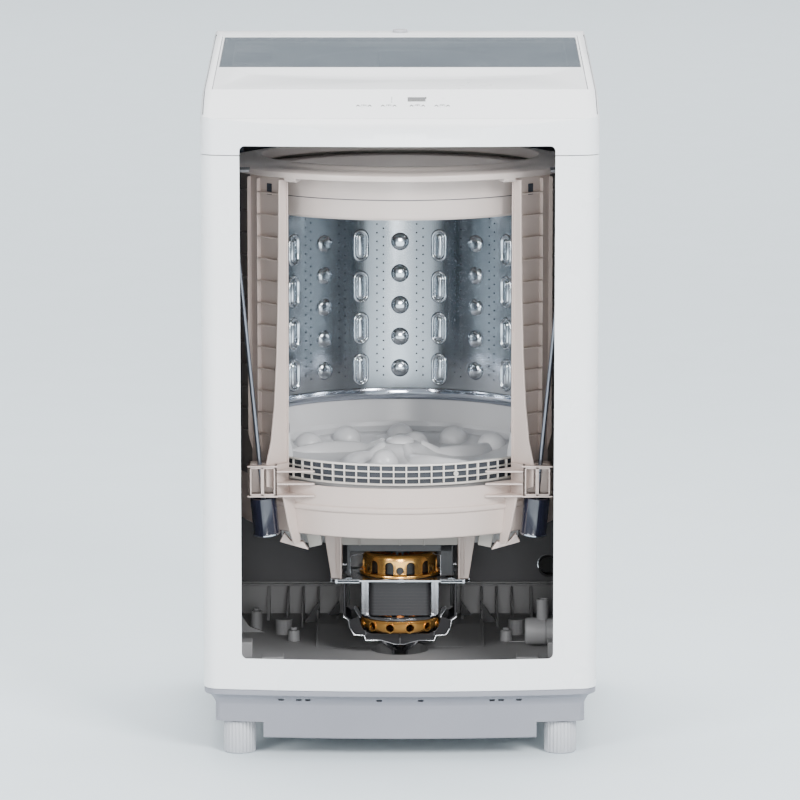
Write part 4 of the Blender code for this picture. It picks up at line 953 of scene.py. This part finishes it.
def make_pulsator():
    disc = [(0.0103, 0.3900), (0.0103, 0.3600), (0.1200, 0.3600), (0.1600, 0.3620), (0.1690, 0.3720),
            (0.1700, 0.3760), (0.1694, 0.3790), (0.1670, 0.3800), (0.1580, 0.3770), (0.1350, 0.3715),
            (0.1050, 0.3700), (0.0750, 0.3715), (0.0520, 0.3760), (0.0360, 0.3850), (0.0260, 0.3895)]
    shape = Shape().lathe(disc, 160)
    vanes = 5
    for k in range(vanes):
        points, sections, ribs = [], 22, 9
        for i in range(sections):
            t = i / (sections - 1)
            radius = 0.030 + 0.130 * t
            middle = math.radians(72 * k + 34 * t * t)
            half = 0.0035 + 0.0135 * math.sin(math.pi * min(1.0, t * 0.92 + 0.06)) ** 0.8
            lift = 0.0160 * math.sin(math.pi * (0.12 + 0.80 * t)) ** 0.7
            for j in range(ribs):
                s = -1 + 2 * j / (ribs - 1)
                floor = 0.3690 + 0.016 * max(0.0, (0.055 - radius) / 0.025)
                points.append(polar(radius, middle + s * half / radius, floor + lift * (1 - s * s) ** 0.75))
        faces = []
        for i in range(sections - 1):
            a, b = i * ribs, (i + 1) * ribs
            faces += [(a + j, b + j, b + j + 1, a + j + 1) for j in range(ribs - 1)]
            faces.append((a + ribs - 1, b + ribs - 1, b, a))
        faces.append(tuple(reversed(range(ribs))))
        faces.append(tuple(range((sections - 1) * ribs, sections * ribs)))
        shape.shell(points, faces)
    piece("wash_pulsator", shape, BASE_PLASTIC, "pulsator", "drum_plastic", "pulsator", angle=50)
    cap = [(0.0001, 0.3986), (0.0060, 0.3984), (0.0120, 0.3975), (0.0170, 0.3950), (0.0196, 0.3920),
           (0.0200, 0.3903), (0.0001, 0.3903)]
    piece("screw_cap", Shape().lathe(cap, 64), BASE_PLASTIC, "pulsator", "drum_plastic", "pulsator_cap")


def make_wash_balls():
    """Rounded massage bumps that stand on the pulsator's rim and near its hub."""
    shape = Shape()
    for radius, angle, size in ((0.143, 90, 0.0205), (0.143, 58, 0.0205), (0.143, 122, 0.0205),
                                (0.143, 26, 0.0205), (0.143, 154, 0.0205), (0.082, 75, 0.0190),
                                (0.082, 255, 0.0190)):
        dome = [(0.0001, size)]
        for k in range(1, 17):
            turn = math.pi / 2 * k / 16
            dome.append((size * math.sin(turn), size * math.cos(turn)))
        dome += [(size * 1.02, -0.004), (0.0001, -0.004)]
        shape.lathe(dome, 40, place=Matrix.Translation(polar(radius, math.radians(angle), 0.3735)))
    piece("pulsator_bumps", shape, BASE_PLASTIC, "pulsator", "drum_plastic", angle=40)


# Motor and clutch

def make_upper_housing():
    outer = [(0.0420, 0.2382), (0.0455, 0.2382), (0.0490, 0.2374), (0.0510, 0.2352), (0.0518, 0.2325),
             (0.0520, 0.2290), (0.0520, 0.2120), (0.0528, 0.2108), (0.0560, 0.2104), (0.0565, 0.2096),
             (0.0565, 0.2073), (0.0500, 0.2073), (0.0500, 0.2310), (0.0480, 0.2350), (0.0420, 0.2360),
             (0.0400, 0.2310), (0.0175, 0.2310), (0.0175, 0.2330), (0.0385, 0.2330), (0.0405, 0.2375)]
    body = object_from(Shape().lathe(outer, 128), "gold_housing")
    openings = Shape()
    for angle in range(0, 360, 60):
        for shift, low, high, half in ((-16.5, 0.200, 0.2290, 0.0062), (16.5, 0.200, 0.2290, 0.0062),
                                       (0.0, 0.2115, 0.2225, 0.00545)):
            outline = rounded_rectangle((-half, low), (half, high), half * 0.98, 10)
            openings.prism(outline, -0.0555, -0.040, "XZ", about_z(angle + shift))
    carve(body, openings)
    settle(body, GOLD, "tub", "gold_paint", "clutch_housing", bevel=0.0004, angle=35)
    core = Shape().lathe([(0.0180, 0.2305), (0.0440, 0.2305), (0.0470, 0.2290), (0.0475, 0.2110),
                          (0.0180, 0.2110)], 64)
    core.lathe([(0.0180, 0.2345), (0.0250, 0.2345), (0.0250, 0.2331), (0.0180, 0.2331)], 64)
    piece("clutch_core", core, BLACK_METAL, "tub", "black_metal")
    coil = Shape()
    for k in range(24):
        path = []
        for step in range(9):
            t = math.pi * step / 8
            path.append(polar(0.0320 + 0.0050 * math.cos(t), math.radians(15 * k),
                              0.2333 + 0.0040 * math.sin(t)))
        coil.sweep(path, 0.0028, 8)
    piece("clutch_coil", coil, COPPER, "tub", "copper")
    flange = Shape().lathe([(0.0590, 0.2072), (0.0602, 0.2064), (0.0602, 0.2036), (0.0590, 0.2028),
                            (0.0470, 0.2028), (0.0470, 0.2072)], 128)
    piece("housing_flange_ring", flange, SILVER, "tub", "aluminium", angle=40)


def make_clutch_cover():
    """Black sheet cover that stands round the gold housing, with painted highlights along its folded edges
    drawn as thin silver rods.
    """
    shape = Shape().block((-0.0735, 0.0300, 0.2078), (0.0735, 0.0320, 0.2530))
    for sx in (-1, 1):
        low, high = sorted((sx * 0.0735, sx * 0.0720))
        shape.block((low, -0.0350, 0.2078), (high, 0.0300, 0.2530))
    shape.block((0.0560, -0.0365, 0.2078), (0.0735, -0.0350, 0.2530))
    shape.block((-0.0735, -0.0365, 0.2078), (-0.0690, -0.0350, 0.2530))
    shape.prism([(-0.0720, 0.2420), (0.0720, 0.2420), (0.0720, 0.2530), (-0.0720, 0.2530)], -0.0365,
                -0.0350, "XZ")
    piece("clutch_cover", shape, BLACK_METAL, "tub", "black_metal", bevel=0.0004)
    # Thin silver rods along the cover's edges: painted highlights.
    edge = Shape()
    left = [(-0.0690, 0.2085), (-0.0690, 0.2330), (-0.0665, 0.2368), (-0.0545, 0.2378), (-0.0500, 0.2405)]
    right = [(0.0565, 0.2085), (0.0565, 0.2368), (0.0490, 0.2378), (0.0450, 0.2405)]
    for line in (left, right):
        edge.sweep([Vector((x, -0.0372, z)) for x, z in line], 0.0006, 8)
    piece("clutch_cover_edge_highlights", edge, SILVER, "tub", "aluminium")


def make_mount_plate():
    outline = rounded_rectangle((-0.0965, -0.062), (0.0965, 0.062), 0.010)
    body = object_from(Shape().prism(outline, 0.2035, 0.2062), "cross_plate")
    carve(body, Shape().cylinder(0.0465, 0.19, 0.22, 96))
    holes = Shape()
    for sx in (-1, 1):
        for y in (-0.046, 0.0, 0.046):
            low, high = sorted((sx * 0.064, sx * 0.078))
            holes.prism(rounded_rectangle((low, y - 0.004), (high, y + 0.004), 0.0038), 0.19, 0.22)
    carve(body, holes)
    settle(body, SILVER, "tub", "aluminium", "motor_mount_plate", bevel=0.0005, angle=38)
    rim = Shape()
    for sx in (-1, 1):
        x = sorted((sx * 0.0965, sx * 0.0945))
        rim.block((x[0], -0.0540, 0.2020), (x[1], 0.0540, 0.2070))
        for sy in (-1, 1):
            y = sorted((sy * 0.0620, sy * 0.0602))
            x = sorted((sx * 0.0900, sx * 0.0560))
            rim.block((x[0], y[0], 0.2020), (x[1], y[1], 0.2070))
    piece("cross_plate_rims", rim, SILVER, "tub", "aluminium", bevel=0.0004)
    screws = Shape()
    for sx in (-1, 1):
        for sy in (-1, 1):
            head = Matrix.Translation((sx * 0.0880, sy * 0.0470, 0))
            screws.cylinder(0.0060, 0.2012, 0.2034, 6, head)
            screws.cylinder(0.0074, 0.2026, 0.2034, 32, head)
            screws.cylinder(0.0028, 0.1985, 0.2014, 20, head)
    piece("leg_screws", screws, SCREW_STEEL, "tub", "steel", bevel=0.0004)


def make_stator():
    shape = Shape()
    sheets = 22
    pitch = (0.2010 - 0.1530) / sheets
    for k in range(sheets):
        reach = 0.0430 if k % 2 == 0 else 0.0427
        low = 0.1530 + pitch * k
        outer = rounded_rectangle((-reach, -reach), (reach, reach), 0.008, 4)
        inner = [(0.030 * math.cos(math.atan2(v, u)), 0.030 * math.sin(math.atan2(v, u))) for u, v in outer]
        shape.band(outer, inner, low, low + pitch)
    piece("stator_stack", shape, STATOR_DARK, "tub", "stator_black", "stator", angle=40)
    frame_shape = Shape()
    for high, low in ((0.1512, 0.1462), (0.2022, 0.2000)):
        frame_shape.lathe([(0.0548, high), (0.0562, high - 0.001), (0.0562, low + 0.001), (0.0548, low),
                           (0.0462, low), (0.0462, high)], 128)
    for sx in (-1, 1):
        for y in (-0.020, 0.020):
            place = Matrix.Translation((sx * 0.0485, y, 0))
            frame_shape.cylinder(0.0050, 0.1490, 0.2018, 32, place)
            frame_shape.block((-0.0048, -0.0048, 0.1512), (0.0048, 0.0, 0.1990), place)
    piece("motor_pillars", frame_shape, SILVER, "tub", "aluminium", "motor_frame", bevel=0.0004)


def make_windings():
    for name, node, low, high in (("upper_copper", "winding_upper", 0.2015, 0.2100), ("lower_copper",
                                                                                      "winding_lower",
                                                                                      0.1362, 0.1527)):
        shape = Shape()
        coils = 12
        middle, reach = (low + high) / 2, (high - low) / 2 - 0.0005
        for k in range(coils):
            for turn in range(5):
                radius = 0.0345 + 0.0024 * turn
                path = []
                for step in range(13):
                    t = 2 * math.pi * step / 12
                    angle = 2 * math.pi / coils * k + 0.20 * math.cos(t)
                    path.append(polar(radius + 0.0006 * math.sin(3 * t), angle, middle + reach * math.sin(t)))
                shape.sweep(path, 0.0010, 6)
        piece(name, shape, COPPER, "tub", "copper", node)


def make_lower_bell():
    bell = [(0.0560, 0.1457), (0.0565, 0.1450), (0.0565, 0.1440), (0.0555, 0.1432), (0.0542, 0.1428),
            (0.0540, 0.1370), (0.0528, 0.1335), (0.0500, 0.1300), (0.0450, 0.1273), (0.0380, 0.1262),
            (0.0130, 0.1262), (0.0130, 0.1282), (0.0375, 0.1282), (0.0440, 0.1292), (0.0485, 0.1318),
            (0.0510, 0.1350), (0.0520, 0.1375), (0.0520, 0.1457)]
    body = object_from(Shape().lathe(bell, 128), "gold_lower_bell")
    holes = Shape()
    for k in range(12):
        outline = circle(0.0058, (0, 0.1362), 32)
        holes.prism(outline, -0.065, -0.0440, "XZ", about_z(15 + 30 * k))
    carve(body, holes)
    settle(body, GOLD, "tub", "gold_paint", "motor_lower_bell", bevel=0.0004, angle=35)
    rims = Shape()
    for k in range(12):
        ring = [(0.0066, 0.0006), (0.0066, -0.0004), (0.0058, -0.0004), (0.0058, 0.0006)]
        outward = Matrix.Rotation(math.pi / 2, 4, "Y")
        place = about_z(15 + 30 * k - 90) @ Matrix.Translation((0.0537, 0, 0.1362)) @ outward
        rims.lathe(ring, 24, place=place)
    piece("bell_opening_rims", rims, GOLD, "tub", "gold_paint")


def make_bracket():
    outer = [(0.0790, 0.2018), (0.0790, 0.1500), (0.0720, 0.1450), (0.0705, 0.1340), (0.0640, 0.1242),
             (0.0500, 0.1225), (0.0475, 0.1155)]
    inner = [(0.0448, 0.1185), (0.0475, 0.1255), (0.0620, 0.1272), (0.0672, 0.1350), (0.0688, 0.1462),
             (0.0755, 0.1510), (0.0755, 0.2018)]
    outline = [(-x, z) for x, z in outer] + outer[::-1] + inner[::-1] + [(-x, z) for x, z in inner]
    body = object_from(Shape().prism(outline, -0.035, 0.035, "XZ"), "black_cradle")
    carve(body, Shape().cylinder(0.0125, 0.10, 0.13, 48))
    settle(body, BLACK_METAL, "tub", "black_metal", "motor_bracket", bevel=0.0006, angle=38)
    web = Shape()
    for sx in (-1, 1):
        side = [(0.0700, 0.1450), (0.0690, 0.1345), (0.0630, 0.1260), (0.0495, 0.1240), (0.0460, 0.1180),
                (0.0001, 0.1180), (0.0001, 0.1258), (0.0400, 0.1258), (0.0480, 0.1285), (0.0520, 0.1330),
                (0.0545, 0.1390), (0.0580, 0.1500)]
        low = [(sx * u, v) for u, v in side]
        web.prism(low, -0.0350, -0.0330, "XZ")
        web.prism(low, 0.0330, 0.0350, "XZ")
        lobe = [(0.0555, 0.1462), (0.0640, 0.1600), (0.0612, 0.1630), (0.0560, 0.1560), (0.0525, 0.1470)]
        web.prism([(sx * u, v) for u, v in lobe], -0.0250, -0.0225, "XZ")
        rail = [(0.0787, 0.2000), (0.0787, 0.1520), (0.0705, 0.1520), (0.0705, 0.2000)]
        web.prism([(sx * u, v) for u, v in rail], 0.0300, 0.0330, "XZ")
    web.prism([(-0.0260, 0.1160), (0.0260, 0.1160), (0.0060, 0.1105), (-0.0060, 0.1105)], -0.0350, -0.0325,
              "XZ")
    piece("cradle_side_webs", web, BLACK_METAL, "tub", "black_metal", bevel=0.0005)
    # Thin silver rods along the black cradle's front outline: painted highlights on its edges.
    edges = Shape()
    for sx in (-1, 1):
        line = [(0.0787, 0.1560), (0.0787, 0.1498), (0.0717, 0.1446), (0.0702, 0.1340), (0.0640, 0.1242),
                (0.0500, 0.1228), (0.0475, 0.1158), (0.0260, 0.1162), (0.0060, 0.1104), (0.0003, 0.1104)]
        edges.sweep([Vector((sx * u, -0.0352, v)) for u, v in line], 0.0007, 8)
        edges.sweep([Vector((sx * u, -0.0254, v)) for u, v in ((0.0560, 0.1465), (0.0645, 0.1602),
                                                               (0.0615, 0.1634))], 0.0006, 8)
        edges.sweep([Vector((sx * 0.0475, -0.0352, z)) for z in (0.1230, 0.1300)], 0.0006, 8)
    edges.sweep([Vector((0.0, -0.0352, z)) for z in (0.1110, 0.1200)], 0.0005, 8)
    piece("cradle_edge_highlights", edges, SILVER, "tub", "aluminium")


def make_hub():
    hub = [(0.0001, 0.1153), (0.0300, 0.1153), (0.0305, 0.1140), (0.0295, 0.1122), (0.0200, 0.1085),
           (0.0140, 0.1045), (0.0122, 0.1015), (0.0115, 0.0910), (0.0100, 0.0885), (0.0001, 0.0880)]
    shape = Shape().lathe(hub, 96)
    for k in range(8):
        radial_plate(shape, [(0.0100, 0.1145), (0.0298, 0.1145), (0.0270, 0.1080), (0.0160, 0.0985),
                             (0.0110, 0.0950)], 45 * k + 22.5, 0.0026)
    piece("motor_nose", shape, SILVER, "tub", "aluminium", "motor_hub", bevel=0.0005)


# Base tray and its fittings

def make_pan_details():
    shape = Shape()
    for sx in SIDES.values():
        for x, y, high in ((0.150, 0.060, 0.112), (0.205, 0.140, 0.124)):
            place = Matrix.Translation((sx * x, y, 0))
            shape.cylinder(0.0090, 0.0964, high, 32, place, top=0.0080)
            shape.cylinder(0.0045, high, high + 0.004, 24, place)
        for k in range(3):
            x = sx * (0.118 + 0.022 * k)
            shape.prism([(0.155, 0.0964), (0.255, 0.0964), (0.255, 0.1380), (0.235, 0.1380)], x - 0.0016,
                        x + 0.0016, "YZ")
        low = (min(sx * 0.205, sx * 0.250), -0.060, 0.0964)
        high = (max(sx * 0.205, sx * 0.250), -0.030, 0.1180)
        shape.block(low, high)
        shape.block((min(sx * 0.160, sx * 0.190), -0.110, 0.0964), (max(sx * 0.160, sx * 0.190), -0.080,
                                                                    0.1080))
    shape.block((-0.2450, 0.2515, 0.1385), (0.2450, 0.2575, 0.1415))
    piece("pan_fittings", shape, PAN_GREY, "root", "dark_plastic", bevel=0.0010)
    # Black triangles behind the pan ribs: painted shadows that the webs cast.
    shade = Shape()
    for sx in SIDES.values():
        for wedge in ([(0.1157, 0.1295), (0.1157, 0.0970), (0.1390, 0.0970)],
                       [(0.0873, 0.1295), (0.0873, 0.1080), (0.1029, 0.1080)]):
            shade.prism([(sx * x, z) for x, z in wedge], 0.190, 0.192, "XZ")
    piece("pan_web_painted_shadows", shade, BLACK_METAL, "root", "dark_plastic", bevel=0.0004)
    hump = Shape()
    sides = [(0.0158, 0.0966), (0.1100, 0.1104), (0.1500, 0.1104), (0.1500, 0.0966)]
    hump.prism(sides, 0.1150, 0.1190, "YZ")
    hump.prism(sides, -0.1190, -0.1150, "YZ")
    piece("pan_ramp_cheeks", hump, PAN_GREY, "root", "dark_plastic", bevel=0.0006)
    plug = Shape().prism(circle(0.0113, (0.215, 0.168), 40), 0.2600, 0.2615, "XZ")
    piece("drain_check_flap", plug, RUBBER, "root", "rubber")


def make_pump():
    across = Matrix.Translation((0.215, 0.025, 0.1175)) @ Matrix.Rotation(math.pi / 2, 4, "Y")
    barrel = [(0.0001, 0.0400), (0.0160, 0.0400), (0.0185, 0.0385), (0.0190, 0.0360), (0.0190, 0.0120),
              (0.0182, 0.0110), (0.0182, -0.0100), (0.0190, -0.0110), (0.0190, -0.0360), (0.0175, -0.0392),
              (0.0120, -0.0400), (0.0001, -0.0400)]
    shape = Shape().lathe(barrel, 64, place=across)
    nozzle = [(0.0080, 0.0460), (0.0088, 0.0450), (0.0084, 0.0420), (0.0084, 0.0150), (0.0062, 0.0150),
              (0.0062, 0.0460)]
    shape.lathe(nozzle, 40, place=Matrix.Translation((0.200, 0.025, 0.1175)))
    piece("pump_body", shape, PAN_GREY, "root", "grey_plastic", "drain_pump", bevel=0.0004)


def make_inlet():
    shape = Shape().block((-0.030, 0.2235, 0.885), (0.030, 0.2600, 0.920))
    piece("inlet_valve_body", shape, PLINTH_GREY, "root", "grey_plastic", "water_inlet_valve", bevel=0.0015)
    thread = [(0.0104, 0.9180)]
    for k in range(6):
        z = 0.9300 + 0.0026 * k
        thread += [(0.0101, z), (0.0108, z + 0.0010), (0.0101, z + 0.0022)]
    thread += [(0.0104, 0.9469), (0.0075, 0.9470), (0.0075, 0.9180)]
    place = Matrix.Translation((0, 0.2405, 0))
    piece("inlet_thread", Shape().lathe(thread, 48, place=place), FOOT_GREY, "root", "grey_plastic")


CAD_FINISHES = {"control_board": BOARD_GREEN, "cord_gland": RUBBER, "drain_outlet": RUBBER,
                "base_pan": PAN_GREY, "drum_flange": SILVER, "spin_tube": ROD_STEEL,
                "drive_shaft": ROD_STEEL, "rotor": ROD_STEEL, "main_bearing": ROD_STEEL,
                "main_seal": RUBBER, "lid_hinge_pin_left": SCREW_STEEL, "lid_hinge_pin_right": SCREW_STEEL,
                }


def finish_cad_nodes():
    for name, surface in CAD_FINISHES.items():
        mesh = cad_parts[name].data
        mesh.materials.clear()
        mesh.materials.append(surface)


# Stage, light and camera

def area_light(name, place, target, size, power, colour=(1, 1, 1)):
    light = bpy.data.lights.new(name, "AREA")
    light.shape = "RECTANGLE"
    light.size, light.size_y = size
    light.energy = power
    light.color = colour
    lamp = bpy.data.objects.new(name, light)
    lamp.location = place
    lamp.rotation_euler = (Vector(target) - Vector(place)).to_track_quat("-Z", "Y").to_euler()
    bpy.context.scene.collection.objects.link(lamp)


def make_stage():
    floor_mesh = bmesh.new()
    bmesh.ops.create_grid(floor_mesh, x_segments=1, y_segments=1, size=60.0)
    mesh = bpy.data.meshes.new("floor")
    floor_mesh.to_mesh(mesh)
    floor_mesh.free()
    floor = bpy.data.objects.new("floor", mesh)
    floor.location.z = -0.0004
    bpy.context.scene.collection.objects.link(floor)
    mesh.materials.append(material("pale_floor", (0.74, 0.83, 0.88), 0.7, grain=30, bump=0.01, tint=0.01))
    world = bpy.data.worlds.new("studio")
    world.use_nodes = True
    background = world.node_tree.nodes["Background"]
    background.inputs["Color"].default_value = (0.82, 0.87, 0.91, 1)
    background.inputs["Strength"].default_value = 0.62
    bpy.context.scene.world = world
    area_light("key", (2.2, -3.6, 2.8), (0, 0, 0.5), (1.6, 1.6), 300)
    area_light("fill", (-2.8, -3.6, 2.0), (0, 0, 0.5), (1.8, 1.8), 170)
    area_light("front", (0.1, -4.2, 0.9), (0, 0, 0.45), (0.9, 0.9), 70)
    area_light("top", (0, 0.6, 3.0), (0, 0, 0.9), (1.6, 1.6), 45)
    area_light("backdrop", (0, 11.0, 9.0), (0, 11.0, 0), (26.0, 24.0), 4200)


def make_camera():
    camera = bpy.data.cameras.new("camera")
    camera.lens = 205.5
    camera.sensor_width = 36.0
    camera.clip_end = 60.0
    holder = bpy.data.objects.new("camera", camera)
    holder.location = (0.0, -6.27, 1.38)
    target = Vector((0.0, -0.27, 0.489))
    holder.rotation_euler = (target - holder.location).to_track_quat("-Z", "Y").to_euler()
    bpy.context.scene.collection.objects.link(holder)
    bpy.context.scene.camera = holder


make_cabinet()
make_rear_panel()
make_plinth()
make_feet()
make_top_cover()
make_controls()
make_lid()
make_dispensers()
make_tub_wall()
make_tub_slots()
make_tub_fins()
make_tub_base()
make_lugs()
make_legs()
make_tub_cover()
make_suspension()
make_drum_shell()
make_balance_ring()
make_drum_base()
make_pulsator()
make_wash_balls()
make_upper_housing()
make_clutch_cover()
make_mount_plate()
make_stator()
make_windings()
make_lower_bell()
make_bracket()
make_hub()
make_pan_details()
make_pump()
make_inlet()
finish_cad_nodes()
make_stage()
make_camera()
